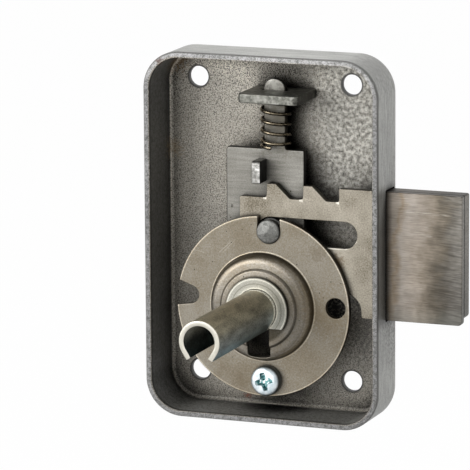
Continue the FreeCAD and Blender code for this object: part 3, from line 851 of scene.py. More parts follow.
# Painted shade on the peg's sides, darkest on its right side.
PEG_STEEL = BareSteel(
    "steel_peg", ((0.4, "#7A7975"), (0.5, "#A5A4A0"), (0.6, "#E0DFDB")), grain=Marks(1.0), pits=0.0,
    rough=(0.34, 0.46), sides=0.3, lee=0.05)
# Painted shade on the undersides of the coils.
SPRING_STEEL = BareSteel(
    "steel_spring", ((0.3, "#6A6051"), (0.5, "#8F8470"), (0.7, "#B0A58F")), pits=0.0, rough=(0.22, 0.3),
    contact=0.25, sides=1.0, unders=0.04)


def arc(centre: Spot, radius: float, start: float, end: float, chord: float = 0.5) -> list[Spot]:
    """Gives points along an arc in the front plane.

    Args:
        centre: The arc's centre.
        radius: Its radius.
        start: The first angle in degrees, from +X towards +Z.
        end: The last angle.
        chord: About how far apart the points lie.

    Returns:
        The points, with both ends.
    """
    turn = np.clip(math.degrees(chord / radius), *ARC_TURNS)
    count = max(2, math.ceil(abs(end - start) / turn) + 1)
    angles = np.radians(np.linspace(start, end, count))
    return [(centre[0] + radius * math.cos(a), centre[1] + radius * math.sin(a)) for a in angles]


def circle(centre: Spot, radius: float, chord: float = 0.5) -> list[Spot]:
    """Gives a closed round line, counter-clockwise, without a double at the end."""
    return arc(centre, radius, 0.0, 360.0, chord)[:-1]


def quarter(steps: int) -> list[float]:
    """Gives angles from 0 to a right angle, with both ends."""
    return [math.pi / 2 * step / steps for step in range(steps + 1)]


def box(left: float, low: float, right: float, high: float, *radii: float) -> list[Spot]:
    """Gives a rectangle, counter-clockwise from its lower left corner, with each corner's radius."""
    return rounded([*zip((left, right, right, left), (low, low, high, high), radii)])


def rounded(corners: Sequence[Corner]) -> list[Spot]:
    """Rounds the corners of a closed line.

    Args:
        corners: Each corner's place, with its radius if it has one.

    Returns:
        The points of the rounded line.
    """
    line: list[Spot] = []
    for i, (x, z, *radius) in enumerate(corners):
        spot = Vector((x, z))
        if not radius:
            line.append(tuple(spot))
            continue
        others = corners[i - 1], corners[(i + 1) % len(corners)]
        back, ahead = ((Vector(other[:2]) - spot).normalized() for other in others)
        half = back.angle(ahead) / 2
        centre = spot + (back + ahead).normalized() * (radius[0] / math.sin(half))
        first, last = (spot + way * (radius[0] / math.tan(half)) - centre for way in (back, ahead))
        sweep = math.remainder(math.atan2(last.y, last.x) - math.atan2(first.y, first.x), math.tau)
        start = math.degrees(math.atan2(first.y, first.x))
        line += arc(tuple(centre), radius[0], start, start + math.degrees(sweep), ROUND_CHORD)
    return line


def inset(line: Line, distance: float) -> list[Spot]:
    """Moves a closed line sideways.

    Args:
        line: The closed line.
        distance: How far it moves to its left.

    Returns:
        A line with as many points.
    """
    spots = np.array(line)
    ahead = np.roll(spots, -1, axis=0) - spots
    ahead /= np.linalg.norm(ahead, axis=1)[:, None]
    left = np.column_stack((-ahead[:, 1], ahead[:, 0]))
    before = np.roll(left, 1, axis=0)
    mitre = (left + before) / (1.0 + (left * before).sum(axis=1))[:, None]
    return [tuple(spot) for spot in spots + mitre * distance]


def within(spots: np.ndarray, line: Line) -> np.ndarray:
    """Tells which points lie inside a closed line.

    Args:
        spots: An array of points, one a row.
        line: The closed line.

    Returns:
        One truth value for each point.
    """
    inside = np.zeros(len(spots), bool)
    for (x1, z1), (x2, z2) in zip(line, [*line[1:], line[0]]):
        if z1 != z2:
            crosses = (spots[:, 1] < z1) != (spots[:, 1] < z2)
            inside ^= crosses & (spots[:, 0] < (x2 - x1) * (spots[:, 1] - z1) / (z2 - z1) + x1)
    return inside


def nearness(spots: np.ndarray, lines: Iterable[Line]) -> np.ndarray:
    """Measures how near points are to closed lines.

    Args:
        spots: An array of points, one a row.
        lines: The closed lines.

    Returns:
        The distance from each point to the nearest line.
    """
    nearest = np.full(len(spots), np.inf)
    for line in lines:
        starts = np.array(line)
        for start, run in zip(starts, np.roll(starts, -1, axis=0) - starts):
            share = np.clip(((spots - start) @ run) / (run @ run), 0.0, 1.0)
            nearest = np.minimum(nearest, np.linalg.norm(spots - start - share[:, None] * run, axis=1))
    return nearest


def triangles(lines: Sequence[Line], inner: Iterable[Line] = ()) -> tuple[np.ndarray, np.ndarray]:
    """Cuts the area between closed lines into triangles.

    Args:
        lines: The outline, and then its holes.
        inner: Lines in the area, or along its edges, that triangles mustn't cross.

    Returns:
        The points, those of the lines first and in their order, and three point numbers for each triangle.
    """
    spots: list[Spot] = []
    runs: list[tuple[int, int]] = []
    for line in [*lines, *inner]:
        start, count = len(spots), len(line)
        spots += line
        runs += [(start + i, start + (i + 1) % count) for i in range(count)]
    found, _, corners, origins, _, _ = delaunay_2d_cdt([Vector(spot) for spot in spots], runs, [], 0, NEARLY)
    numbers = [origin[0] if origin else len(spots) + extra for extra, origin in enumerate(origins)]
    places = np.array(spots + [(0.0, 0.0)] * len(found))
    for number, spot in zip(numbers, found):
        places[number] = spot
    chosen = np.array([[numbers[i] for i in corner] for corner in corners if len(corner) == 3])
    middles = places[chosen].mean(axis=1)
    kept = within(middles, lines[0])
    for line in lines[1:]:
        kept &= ~within(middles, line)
    return places, chosen[kept]


@dataclass(frozen=True)
class Edge:
    """A small round edge between a face and a side."""

    radius: float
    steps: int = 3

    def stations(self, front: float, back: float) -> list[Spot]:
        """Gives where the rings of a plate's side lie, from the front to the back.

        Args:
            front: The depth of the plate's front.
            back: The depth of its back.

        Returns:
            How far in each ring lies, and how deep.
        """
        r = self.radius
        near = [(r * (1 - math.sin(a)), r * (1 - math.cos(a))) for a in quarter(self.steps)]
        return [(d, front + y) for d, y in near] + [(d, back - y) for d, y in near[::-1]]


class Shaper:
    """Gathers the points and faces of one piece, in millimetres, and makes the piece."""

    same = 0.0002
    crease = 40.0
    face_weight = 80

    def __init__(self) -> None:
        """Starts with nothing."""
        self.spots: list[Vector] = []
        self.faces: list[tuple[int, ...]] = []

    def ring(self, line: Line, depth: float | Sequence[float]) -> list[int]:
        """Adds a line of points.

        Args:
            line: The points' places in the front plane.
            depth: Their depth, or one for each.

        Returns:
            The points' numbers.
        """
        start = len(self.spots)
        self.spots += [Vector((x, y, z)) for (x, z), y in zip(line, np.broadcast_to(depth, len(line)))]
        return list(range(start, len(self.spots)))

    def bridge(self, first: Sequence[int], second: Sequence[int], closed: bool = True) -> None:
        """Joins two lines of as many points with four-sided faces."""
        pairs = [*zip(first, second), *([(first[0], second[0])] if closed else [])]
        self.faces += [(a, b, c, d) for (a, d), (b, c) in zip(pairs, pairs[1:])]

    def stack(self, rings: Sequence[Sequence[int]]) -> None:
        """Joins each line to the next."""
        for first, second in zip(rings, rings[1:]):
            self.bridge(first, second)

    def fill(self, *rings: Sequence[int]) -> None:
        """Closes the flat area inside the first ring and outside the others.

        Args:
            *rings: The numbers of the points on each ring.
        """
        lines = [[(self.spots[i].x, self.spots[i].z) for i in ring] for ring in rings]
        numbers = sum(rings, [])
        self.faces += [tuple(numbers[i] for i in corner) for corner in triangles(lines)[1]]

    def plate(self, lines: Sequence[Line], front: float, back: float, edge: Edge) -> None:
        """Adds a flat plate with round edges.

        Args:
            lines: The outline, counter-clockwise, and then its holes, clockwise.
            front: The front face's depth.
            back: The back face's depth.
            edge: The edges' rounding.
        """
        sides = [[self.ring(inset(line, d), y) for d, y in edge.stations(front, back)] for line in lines]
        for rings in sides:
            self.stack(rings)
        for end in (0, -1):
            self.fill(*(rings[end] for rings in sides))

    def turned(self, section: Line, centre: Spot, chord: float = 0.35) -> None:
        """Adds a solid turned about an axis along Y.

        Args:
            section: Radius and depth of each point, the first and the last on the axis.
            centre: The axis's place.
            chord: About how far apart points round the axis lie.
        """
        widest = max(radius for radius, _ in section)
        rim = [(x / widest, z / widest) for x, z in circle((0.0, 0.0), widest, chord)]
        rings = [self.ring([(centre[0] + x * radius, centre[1] + z * radius) for x, z in rim], depth)
                 for radius, depth in section[1:-1]]
        self.stack(rings)
        for (_, depth), ring in ((section[0], rings[0]), (section[-1], rings[-1])):
            middle = self.ring([centre], depth)[0]
            self.faces += [(middle, a, b) for a, b in zip(ring, ring[1:] + ring[:1])]

    def pressed(self, lines: Sequence[Line], sections: Sequence[Line], bends: Span, edge: Edge) -> None:
        """Adds a sheet that is pressed up round the origin, with holes and round edges.

        Args:
            lines: The outline, counter-clockwise, and then its holes, clockwise.
            sections: Radius and depth of the front's bends, and of the back's.
            bends: The least and the most radius of a bend, and about how far apart points round it lie.
            edge: The edges' rounding.
        """
        insets = [distance for distance, _ in edge.stations(0.0, 0.0)[:edge.steps]]
        inner = [inset(line, distance) for line in lines for distance in insets]
        least, most, chord = bends
        radii = sorted({round(r, 3) for section in sections for r, _ in section if least < r < most})
        inner += [circle((0.0, 0.0), radius, chord) for radius in radii]
        places, corners = triangles(lines, inner)
        radius = np.hypot(*places.T)
        lack = edge.radius - np.clip(nearness(places, lines), 0.0, edge.radius)
        fall = edge.radius - np.sqrt(np.maximum(edge.radius ** 2 - lack ** 2, 0.0))
        near, far = (self.ring(places, np.interp(radius, *zip(*section)) + way * fall)
                     for section, way in zip(sections, (1, -1)))
        sides: set[tuple[int, int]] = set()
        for corner in corners.tolist():
            self.faces += [tuple(near[i] for i in corner), tuple(far[i] for i in reversed(corner))]
            sides |= set(zip(corner, corner[1:] + corner[:1]))
        self.faces += [(near[a], far[a], far[b], near[b]) for a, b in sorted(sides) if (b, a) not in sides]

    def make(self, name: str, finish: Finish, slot: str, body: Body | None, *nodes: str) -> bpy.types.Object:
        """Makes the piece, which stands in place of solids.

        Args:
            name: The piece's name.
            finish: Its finish.
            slot: Not used.
            body: The body that it moves with, or None to leave it unattached.
            *nodes: The solids that it stands for.

        Returns:
            The object, in the scene.
        """
        mesh = bpy.data.meshes.new(name)
        mesh.from_pydata([tuple(spot * MM) for spot in self.spots], [], self.faces)
        shaped = bmesh.new()
        shaped.from_mesh(mesh)
        bmesh.ops.remove_doubles(shaped, verts=shaped.verts, dist=self.same * MM)
        bmesh.ops.delete(shaped, geom=[spot for spot in shaped.verts if not spot.link_faces], context="VERTS")
        bmesh.ops.recalc_face_normals(shaped, faces=shaped.faces)
        for face in shaped.faces:
            face.smooth = True
        shaped.to_mesh(mesh)
        shaped.free()
        mesh.set_sharp_from_angle(angle=math.radians(self.crease))
        mesh.materials.append(finish.material())
        piece = bpy.data.objects.new(name, mesh)
        bpy.context.scene.collection.objects.link(piece)
        even = piece.modifiers.new("even_faces", "WEIGHTED_NORMAL")
        even.keep_sharp = True
        even.weight = self.face_weight
        if body:
            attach(piece, body.value)
        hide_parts(*nodes)
        LOG.info("%s stands for %s", name, ", ".join(nodes))
        return piece


@dataclass(frozen=True)
class SheetCase:
    """Box drawn from one steel sheet, open towards the door."""

    left: float = -28.9
    right: float = 31.1
    bottom: float = -28.0
    top: float = 62.05
    corner_r: float = 9.2
    wall: float = 1.5
    back: float = 14.95
    inner_bend: float = 1.0
    rim_edge: float = 0.35
    screw_r: float = 2.5
    screw_x: Spot = (-19.8, 19.8)
    screw_z: Spot = (-19.0, 54.05)
    slot_y: Spot = (5.8, 11.9)
    slot_z: Spot = (-1.85, 30.3)
    levels: Span = (12.0, 11.9, 5.8, 4.0, 2.0)
    right_points: tuple[int, int, int] = (9, 12, 9)
    left_points: int = 44
    level_points: int = 30
    bend_steps: int = 6
    rim_steps: int = 3
    hole_edge: Edge = Edge(0.2, 2)

    def outline(self) -> tuple[list[Spot], int, int]:
        """Draws the outer line, with points at the ends of the bolt's slot on the right.

        Returns:
            The line, and the numbers of those two points.
        """
        r, (low, high) = self.corner_r, self.slot_z
        left, right, bottom, top = self.left + r, self.right - r, self.bottom + r, self.top - r
        line = arc((right, bottom), r, -90.0, 0.0)
        ends = []
        for start, end, count in zip((bottom, low, high), (low, high, top), self.right_points):
            line += [(self.right, z) for z in np.linspace(start, end, count)[1:]]
            ends.append(len(line) - 1)
        line = line[:-1] + arc((right, top), r, 0.0, 90.0)
        line += [(x, self.top) for x in np.linspace(right, left, self.level_points)[1:-1]]
        line += arc((left, top), r, 90.0, 180.0)
        line += [(self.left, z) for z in np.linspace(top, bottom, self.left_points)[1:-1]]
        line += arc((left, bottom), r, 180.0, 270.0)
        line += [(x, self.bottom) for x in np.linspace(left, right, self.level_points)[1:-1]]
        return line, ends[0], ends[1]

    def build(self) -> None:
        """Makes the box with its round bends, screw holes and the slot in its right wall."""
        shaper = Shaper()
        outline, first, last = self.outline()
        outside, inside = (
            [(deep + bend * (1 - math.sin(a)), self.back - deep - bend * (1 - math.cos(a)))
             for a in quarter(self.bend_steps)]
            for bend, deep in ((self.inner_bend + self.wall, 0.0), (self.inner_bend, self.wall)))
        edge = self.rim_edge
        rim = [(edge * (1 - math.cos(a)), edge * (1 - math.sin(a))) for a in quarter(self.rim_steps)]
        stations = outside + [(0.0, y) for y in self.levels] + rim
        stations += [(self.wall - d, y) for d, y in reversed(rim)]
        stations += [(self.wall, y) for y in reversed(self.levels)] + inside[::-1]
        rings = {station: shaper.ring(inset(outline, station[0]), station[1]) for station in stations}
        for a, b in zip(stations, stations[1:]):
            start, end = (last, first + 1) if {a[1], b[1]} == set(self.slot_y) else (0, 1)
            lines = [rings[station][start:] + rings[station][:end] for station in (a, b)]
            shaper.bridge(*lines, closed=False)
        cut = [[rings[deep, y][first:last + 1] for deep in (0.0, self.wall)] for y in self.slot_y]
        for lines in cut:
            shaper.bridge(*lines, closed=False)
        for end in (0, -1):
            shaper.faces.append(tuple(line[end] for line in (*cut[0], *cut[1][::-1])))
        self.close_back(shaper, rings[stations[0]], rings[stations[-1]])
        shaper.make("sheet_case", ENAMEL, "case_enamel", Body.LOCK, "case")

    def close_back(self, shaper: Shaper, outer: list[int], inner: list[int]) -> None:
        """Adds the back with its four screw holes.

        Args:
            shaper: The case's points and faces.
            outer: The last ring of points outside.
            inner: The last ring of points inside.
        """
        outside, inside = [outer], [inner]
        for place in itertools.product(self.screw_x, self.screw_z):
            hole = circle(place, self.screw_r)[::-1]
            stations = self.hole_edge.stations(self.back - self.wall, self.back)
            rings = [shaper.ring(inset(hole, d), y) for d, y in stations]
            shaper.stack(rings)
            inside.append(rings[0])
            outside.append(rings[-1])
        shaper.fill(*outside)
        shaper.fill(*inside)


@dataclass(frozen=True)
class GuideDisc:
    """Round plate with a two-stepped boss, slotted for the key's bit."""

    radius: float = 22.3
    thickness: float = 1.5
    rest_y: float = 4.5
    shoulder_y: float = 1.7
    top_y: float = 0.9
    foot_r: float = 13.3
    shoulder_r: float = 12.5
    step_r: float = 9.95
    top_r: float = 9.4
    foot_fillet: float = 0.4
    shoulder_fillet: float = 2.0
    back_fillet: float = 0.6
    top_fillet: float = 0.3
    ledge_fillet: float = 0.15
    back_gap: float = 0.825
    beyond: float = 3.0
    floor: float = -20.0
    bends: Span = (0.5, 21.7, 0.7)
    edge: Edge = Edge(0.22)
    post: Place = (1.6, 18.6, 2.85)
    side: Place = (-18.85, 1.65, 2.2)
    side_slopes: Spot = (20.0, -8.0)
    holes: tuple[tuple[Spot, float, float], ...] = (((18.75, 0.85), 2.5, 0.35), ((1.15, -18.1), 2.3, 0.5))
    corner_chord: float = 0.2
    passage_r: float = 5.22
    bit_half: float = 2.9
    bit_reach: float = 12.2
    bit_corner: float = 0.8

    def section(self, shrink: float, deeper: float, shoulder_fillet: float) -> list[Spot]:
        """Gives the boss's section as radius and depth, from the middle outwards, with round bends.

        Args:
            shrink: How much smaller the radii are than in front.
            deeper: How much deeper it lies than in front.
            shoulder_fillet: The radius of the bend at the shoulder.

        Returns:
            The section's points.
        """
        floor, far = self.floor, self.radius + self.beyond
        corners = (
            (0.0, self.top_y), (self.top_r - shrink, self.top_y, self.top_fillet),
            (self.step_r - shrink, self.shoulder_y, self.ledge_fillet),
            (self.shoulder_r - shrink, self.shoulder_y, shoulder_fillet),
            (self.foot_r - shrink, self.rest_y, self.foot_fillet),
            (far, self.rest_y), (far, floor), (0.0, floor))
        return [(radius, depth + deeper) for radius, depth in rounded(corners) if depth > floor]

    def outline(self) -> list[Spot]:
        """Draws the outer line with its notches for the post and at the left.

        Returns:
            The line, counter-clockwise.
        """
        post_x, post_z, half = self.post
        rises = [math.degrees(math.acos(x / self.radius)) for x in (post_x - half, post_x + half)]
        side_x, side_z, side_r = self.side
        turns, ends = [], []
        for slope, way in zip(self.side_slopes, (1, -1)):
            out = Vector((-math.cos(math.radians(slope)), math.sin(math.radians(slope))))
            foot = Vector((side_x, side_z)) + Vector((out.y, -out.x)) * way * side_r
            along = foot.dot(out)
            end = foot + out * (-along + math.sqrt(along ** 2 - foot.length_squared + self.radius ** 2))
            turns.append(math.degrees(math.atan2(foot.y - side_z, foot.x - side_x)))
            ends.append(math.degrees(math.atan2(end.y, end.x)) % 360.0)
        line = arc((post_x, post_z), half, 360.0, 180.0) + arc((0.0, 0.0), self.radius, rises[0], ends[0])
        line += arc((side_x, side_z), side_r, *turns)
        return line + arc((0.0, 0.0), self.radius, ends[1], 360.0 + rises[1])

    def key_hole(self) -> list[Spot]:
        """Draws the line round the tube's passage and the bit's slot.

        Returns:
            The line, counter-clockwise.
        """
        shut = math.degrees(math.asin(self.bit_half / self.passage_r))
        side, reach = self.bit_half - self.bit_corner, self.bit_reach - self.bit_corner
        lean = math.asin(side / reach)
        drop = reach * math.cos(lean)
        lean = math.degrees(lean)
        line = arc((0.0, 0.0), self.passage_r, shut - 90.0, 270.0 - shut)
        line += arc((-side, -drop), self.bit_corner, 180.0, 270.0 - lean, self.corner_chord)
        line += arc((0.0, 0.0), self.bit_reach, 270.0 - lean, 270.0 + lean)[1:-1]
        return line + arc((side, -drop), self.bit_corner, 270.0 + lean, 360.0, self.corner_chord)

    def build(self) -> None:
        """Makes the disc."""
        shaper = Shaper()
        holes = [circle(*hole) for hole in self.holes]
        lines = [self.outline(), *(hole[::-1] for hole in (*holes, self.key_hole()))]
        sections = (self.section(0.0, 0.0, self.shoulder_fillet),
                    self.section(self.back_gap, self.thickness, self.back_fillet))
        shaper.pressed(lines, sections, self.bends, self.edge)
        shaper.make("stepped_disc", DISC_STEEL, "disc_steel", Body.LOCK, "guide_disc")


@dataclass(frozen=True)
class KeyTube:
    """Tube rolled from sheet, open below, that guides the key's stem."""

    outer: float = 5.1
    inner: float = 3.9
    front: float = -37.0
    back: float = 3.0
    opening: float = 32.0
    leg: float = 2.1
    chord: float = 0.4
    edge: Edge = Edge(0.12, 2)

    def build(self) -> None:
        """Makes the tube: a split ring with straight legs."""
        start, end = -self.opening, 180.0 + self.opening
        slope = math.radians(self.opening)
        out, down = self.leg * math.sin(slope), self.leg * math.cos(slope)
        outside = arc((0.0, 0.0), self.outer, start, end, self.chord)
        inside = arc((0.0, 0.0), self.inner, end, start, self.chord)
        (x1, z1), (x2, z2), (x3, z3), (x4, z4) = outside[0], outside[-1], inside[0], inside[-1]
        line = [(x1 - out, z1 - down), *outside, (x2 + out, z2 - down), (x3 + out, z3 - down), *inside,
                (x4 - out, z4 - down)]
        shaper = Shaper()
        shaper.plate([line], self.front, self.back, self.edge)
        shaper.make("split_key_tube", TUBE_STEEL, "tube_steel", Body.LOCK, "key_tube")


@dataclass(frozen=True)
class TubeCollar:
    """Bright ring round the tube's foot, cut off flat below."""

    outer: float = 8.0
    inner: float = 5.14
    cut: float = -4.4
    front: float = 0.0
    back: float = 0.9
    edge: Edge = Edge(0.18)

    def build(self) -> None:
        """Makes the collar."""
        wide, deep = (math.degrees(math.asin(-self.cut / radius)) for radius in (self.outer, self.inner))
        line = arc((0.0, 0.0), self.outer, -wide, 180.0 + wide)
        line += arc((0.0, 0.0), self.inner, 180.0 + deep, -deep)
        shaper = Shaper()
        shaper.plate([line], self.front, self.back, self.edge)
        shaper.make("bright_collar", COLLAR_STEEL, "collar_steel", Body.LOCK, "tube_collar")


@dataclass(frozen=True)
class DiscScrew:
    """Zinc-plated pan-head screw with a tapered cross recess."""

    centre: Spot = (1.15, -18.1)
    head_r: float = 3.75
    front: float = 1.9
    back: float = 4.5
    edge_r: float = 1.36
    edge_steps: int = 6
    rim_gap: float = 0.05
    burr: float = 0.12
    shank_r: float = 1.95
    shank_end: float = 9.0
    wing: float = 2.2
    wing_half: float = 0.55
    root: float = 0.77
    tip_r: float = 0.18
    root_r: float = 0.2
    mouth: tuple[Spot, ...] = ((1.04, 0.0), (1.0, 0.1), (0.72, 1.5))
    turn: float = 13.0

    def cross(self, scale: float) -> list[Spot]:
        """Draws the line of the recess in the head.

        Args:
            scale: The line's size as a share of the recess's size at its lip.

        Returns:
            The line, clockwise.
        """
        corners = []
        tips = ((self.wing, -self.wing_half, self.tip_r), (self.wing, self.wing_half, self.tip_r),
                (self.root, self.root, self.root_r))
        for step in range(4):
            cos, sin = (way(math.radians(self.turn + 90.0 * step)) for way in (math.cos, math.sin))
            corners += [(x * cos - z * sin, x * sin + z * cos, radius) for x, z, radius in tips]
        return [(self.centre[0] + x * scale, self.centre[1] + z * scale) for x, z in rounded(corners)[::-1]]

    def build(self) -> None:
        """Makes the screw."""
        shaper = Shaper()
        recess = [shaper.ring(self.cross(scale), self.front + deep) for scale, deep in self.mouth]
        flat = self.head_r - self.edge_r
        rings = [shaper.ring(circle(self.centre, flat - self.rim_gap, ROUND_CHORD), self.front)]
        section = [(flat + self.edge_r * math.sin(a), self.front + self.edge_r * (1 - math.cos(a)))
                   for a in quarter(self.edge_steps)[1:]]
        section += [(self.head_r, self.back - self.burr), (self.head_r - self.burr, self.back),
                    (self.shank_r, self.back), (self.shank_r, self.shank_end)]
        for radius, depth in section:
            rim = [(self.centre[0] + radius * math.cos(a), self.centre[1] + radius * math.sin(a))
                   for a in np.linspace(0.0, math.tau, len(rings[0]) + 1)[:-1]]
            rings.append(shaper.ring(rim, depth))
        shaper.stack(recess)
        shaper.stack(rings)
        for edges in ((recess[-1],), (rings[0], recess[0]), (rings[-1],)):
            shaper.fill(*edges)
        shaper.make("cross_recess_screw", ZINC, "screw_zinc", Body.LOCK, "disc_screw")


@dataclass(frozen=True)
class GuidePost:
    """Stepped post riveted in the back, its head dented by the hammer.

    A blow is the way that it comes from, how steep its dent is and how far from the axis it starts.
    """

    centre: Spot = (1.6, 18.6)
    head_r: float = 3.0
    head_front: float = 3.6
    head_back: float = 4.4
    head_edge: float = 0.45
    head_turns: Span = (0.3, 0.7, 1.1, math.pi / 2)
    head_shares: Span = (0.0, 0.2, 0.4, 0.6, 0.75)
    burr: float = 0.1
    neck_r: float = 2.7
    neck_back: float = 6.0
    shank_r: float = 3.05
    shank_back: float = 10.1
    shank_edge: float = 0.15
    base_r: float = 4.6
    base_back: float = 13.45
    base_edge: float = 0.3
    tenon_r: float = 2.0
    back_y: float = 14.95
    upset_r: float = 3.2
    upset_rise: float = 0.7
    upset_steps: int = 5
    dent_depth: float = 0.5
    blows: tuple[Place, ...] = (
        (0.0, 0.0, 0.0), (0.4, 0.16, 0.7), (1.3, 0.12, 0.9), (2.4, 0.2, 0.4), (3.5, 0.1, 1.0),
        (4.3, 0.18, 0.8), (5.3, 0.14, 0.5),
    )

    def build(self) -> None:
        """Makes the post, whose tenon is hammered flat over the back."""
        head, edge = self.head_front, self.head_edge
        section = [(self.head_r * share, head) for share in self.head_shares]
        section += [(self.head_r - edge * (1 - math.sin(a)), head + edge * (1 - math.cos(a)))
                    for a in self.head_turns]
        section += [
            (self.head_r, self.head_back - self.burr), (self.head_r - self.burr, self.head_back),
            (self.neck_r, self.head_back), (self.neck_r, self.neck_back),
            (self.shank_r - self.shank_edge, self.neck_back),
            (self.shank_r, self.neck_back + self.shank_edge),
            (self.shank_r, self.shank_back), (self.base_r - self.base_edge, self.shank_back),
            (self.base_r, self.shank_back + self.base_edge), (self.base_r, self.base_back),
            (self.tenon_r, self.base_back), (self.tenon_r, self.back_y)]
        section += [(self.upset_r * math.cos(a), self.back_y + self.upset_rise * math.sin(a))
                    for a in quarter(self.upset_steps)[:-1]]
        section.append((0.0, self.back_y + self.upset_rise))
        shaper = Shaper()
        shaper.turned(section, self.centre)
        for spot in shaper.spots:
            if spot.y < self.head_front + self.dent_depth:
                x, z = spot.x - self.centre[0], spot.z - self.centre[1]
                spot.y += max(slope * (x * math.cos(a) + z * math.sin(a) - start)
                              for a, slope, start in self.blows)
        shaper.make("hammered_post", POST_STEEL, "post_steel", Body.LOCK, "guide_post")


@dataclass(frozen=True)
class SpringBracket:
    """Flat lug staked in the back, with a hole for the tumbler's stem."""

    left: float = -4.7
    right: float = 10.7
    front: float = 0.3
    back: float = 13.45
    low: float = 50.45
    high: float = 52.65
    corner: float = 1.2
    root: float = 0.3
    tenon_x: Spot = (8.1, -2.1)
    tenon_half: float = 1.6
    tenon_back: float = 15.45
    stem_hole: tuple[float, float, float, float] = (-1.2, 7.85, 5.0, 10.25)
    edge: Edge = Edge(0.22)

    def build(self) -> None:
        """Makes the bracket: its plan is drawn flat and then turned level."""
        plan: list[Corner] = [(self.left, self.front, self.corner), (self.right, self.front, self.corner),
                              (self.right, self.back, self.root)]
        for x in self.tenon_x:
            left, right = x - self.tenon_half, x + self.tenon_half
            plan += [(right, self.back), (right, self.tenon_back, self.root)]
            plan += [(left, self.tenon_back, self.root), (left, self.back)]
        plan.append((self.left, self.back, self.root))
        hole = box(*self.stem_hole, *(self.root,) * 4)[::-1]
        shaper = Shaper()
        shaper.plate([rounded(plan), hole], self.low, self.high, self.edge)
        for spot in shaper.spots:
            spot.y, spot.z = spot.z, spot.y
        shaper.make("staked_bracket", BRACKET_STEEL, "post_steel", Body.LOCK, "spring_bracket")


@dataclass(frozen=True)
class Bolt:
    """Toothed bolt plate with a guide slot, and the thick layer behind its head."""

    front: float = 6.2
    middle: float = 8.0
    back: float = 11.7
    end: float = 50.2
    low: float = -1.5
    top: float = 29.95
    block_x: float = 29.0
    block_low: float = -0.3
    tail: float = -6.5
    bar_low: float = 10.2
    notch: float = 26.65
    crest: float = 30.1
    tooth_x: float = 0.45
    pitch: float = 9.35
    lean: float = 0.15
    face: float = 2.3
    slope: float = 3.7
    talon_half: float = 2.1
    talon_top: float = 12.5
    talon_r: float = 0.4
    talon_edge_r: float = 0.5
    heel: float = 10.9
    sweep: tuple[Spot, float, float, float] = ((9.35, 0.0), 12.3, 56.58, 20.79)
    relief: tuple[Spot, float, float, float] = ((20.3, 0.0), 4.4, 82.83, 1.0)
    heel_x: float = 24.7
    corner_r: float = 0.6
    head_r: Spot = (1.0, 0.5)
    block_r: tuple[float, float, float, float] = (0.4, 1.0, 0.5, 0.4)
    notch_r: Spot = (0.7, 0.9)
    crest_r: Spot = (0.3, 0.5)
    edge: Edge = Edge(0.18)
    slot: tuple[float, float, float, float] = (1.45, 20.45, 18.6, 3.25)
    rivet_x: float = 38.2
    rivet_z: Spot = (6.0, 22.45)
    rivet_chord: float = 0.2
    rivet: tuple[Spot, ...] = ((0.0, -0.5), (1.45, -0.5), (1.45, 0.0), (1.1, 0.05), (0.0, 0.08))

    def outline(self) -> list[Spot]:
        """Draws the toothed plate's line from its lower right corner.

        Returns:
            The line, counter-clockwise.
        """
        notch, crest, (left_r, right_r), (tip_r, back_r) = self.notch, self.crest, self.notch_r, self.crest_r
        x = self.tooth_x + 2 * self.pitch
        teeth: list[Corner] = [(x - self.lean, self.top, tip_r), (x, notch, left_r)]
        for x in (self.tooth_x + self.pitch, self.tooth_x):
            tip = x + self.lean
            teeth += [(x + self.face + self.slope, notch, right_r), (tip + self.face, crest, back_r)]
            teeth += [(tip, crest, tip_r), (x, notch, left_r)]
        bar, top, r, edge_r = self.bar_low, self.talon_top, self.talon_r, self.talon_edge_r
        near, far = self.pitch / 2 - self.talon_half, self.pitch * 1.5 - self.talon_half
        wide = 2 * self.talon_half
        line = rounded((
            (self.heel_x, 0.0), (self.heel_x, self.low, self.corner_r),
            (self.end, self.low, self.head_r[0]), (self.end, self.top, self.head_r[1]), *teeth,
            (self.tail, notch, self.corner_r), (self.tail, bar, self.corner_r),
            (near, bar, r), (near, top, r), (near + wide, top, r), (near + wide, bar, edge_r),
            (far, bar, edge_r), (far, top, r), (far + wide, top, r), (far + wide, self.heel)))
        return line + arc(*self.sweep) + arc(*self.relief)[1:]

    def build(self) -> None:
        """Makes the plate, the block and the rivets' ends."""
        left, right, z, radius = self.slot
        slot = arc((left, z), radius, 270.0, 90.0) + arc((right, z), radius, 90.0, -90.0)
        block = box(self.block_x, self.block_low, self.end, self.top, *self.block_r)
        for name, node, lines, front, back in (
            ("toothed_plate", "bolt_plate", [self.outline(), slot], self.front, self.middle),
            ("head_block", "bolt_block", [block], self.middle, self.back),
        ):
            shaper = Shaper()
            shaper.plate(lines, front, back, self.edge)
            shaper.make(name, BOLT_STEEL, "bolt_steel", Body.BOLT, node)
        rivets = Shaper()
        for z in self.rivet_z:
            section = [(radius, self.back + deep) for radius, deep in self.rivet]
            rivets.turned(section, (self.rivet_x, z), self.rivet_chord)
        rivets.make("rivet_ends", BOLT_STEEL, "bolt_steel", Body.BOLT, "bolt_rivets")


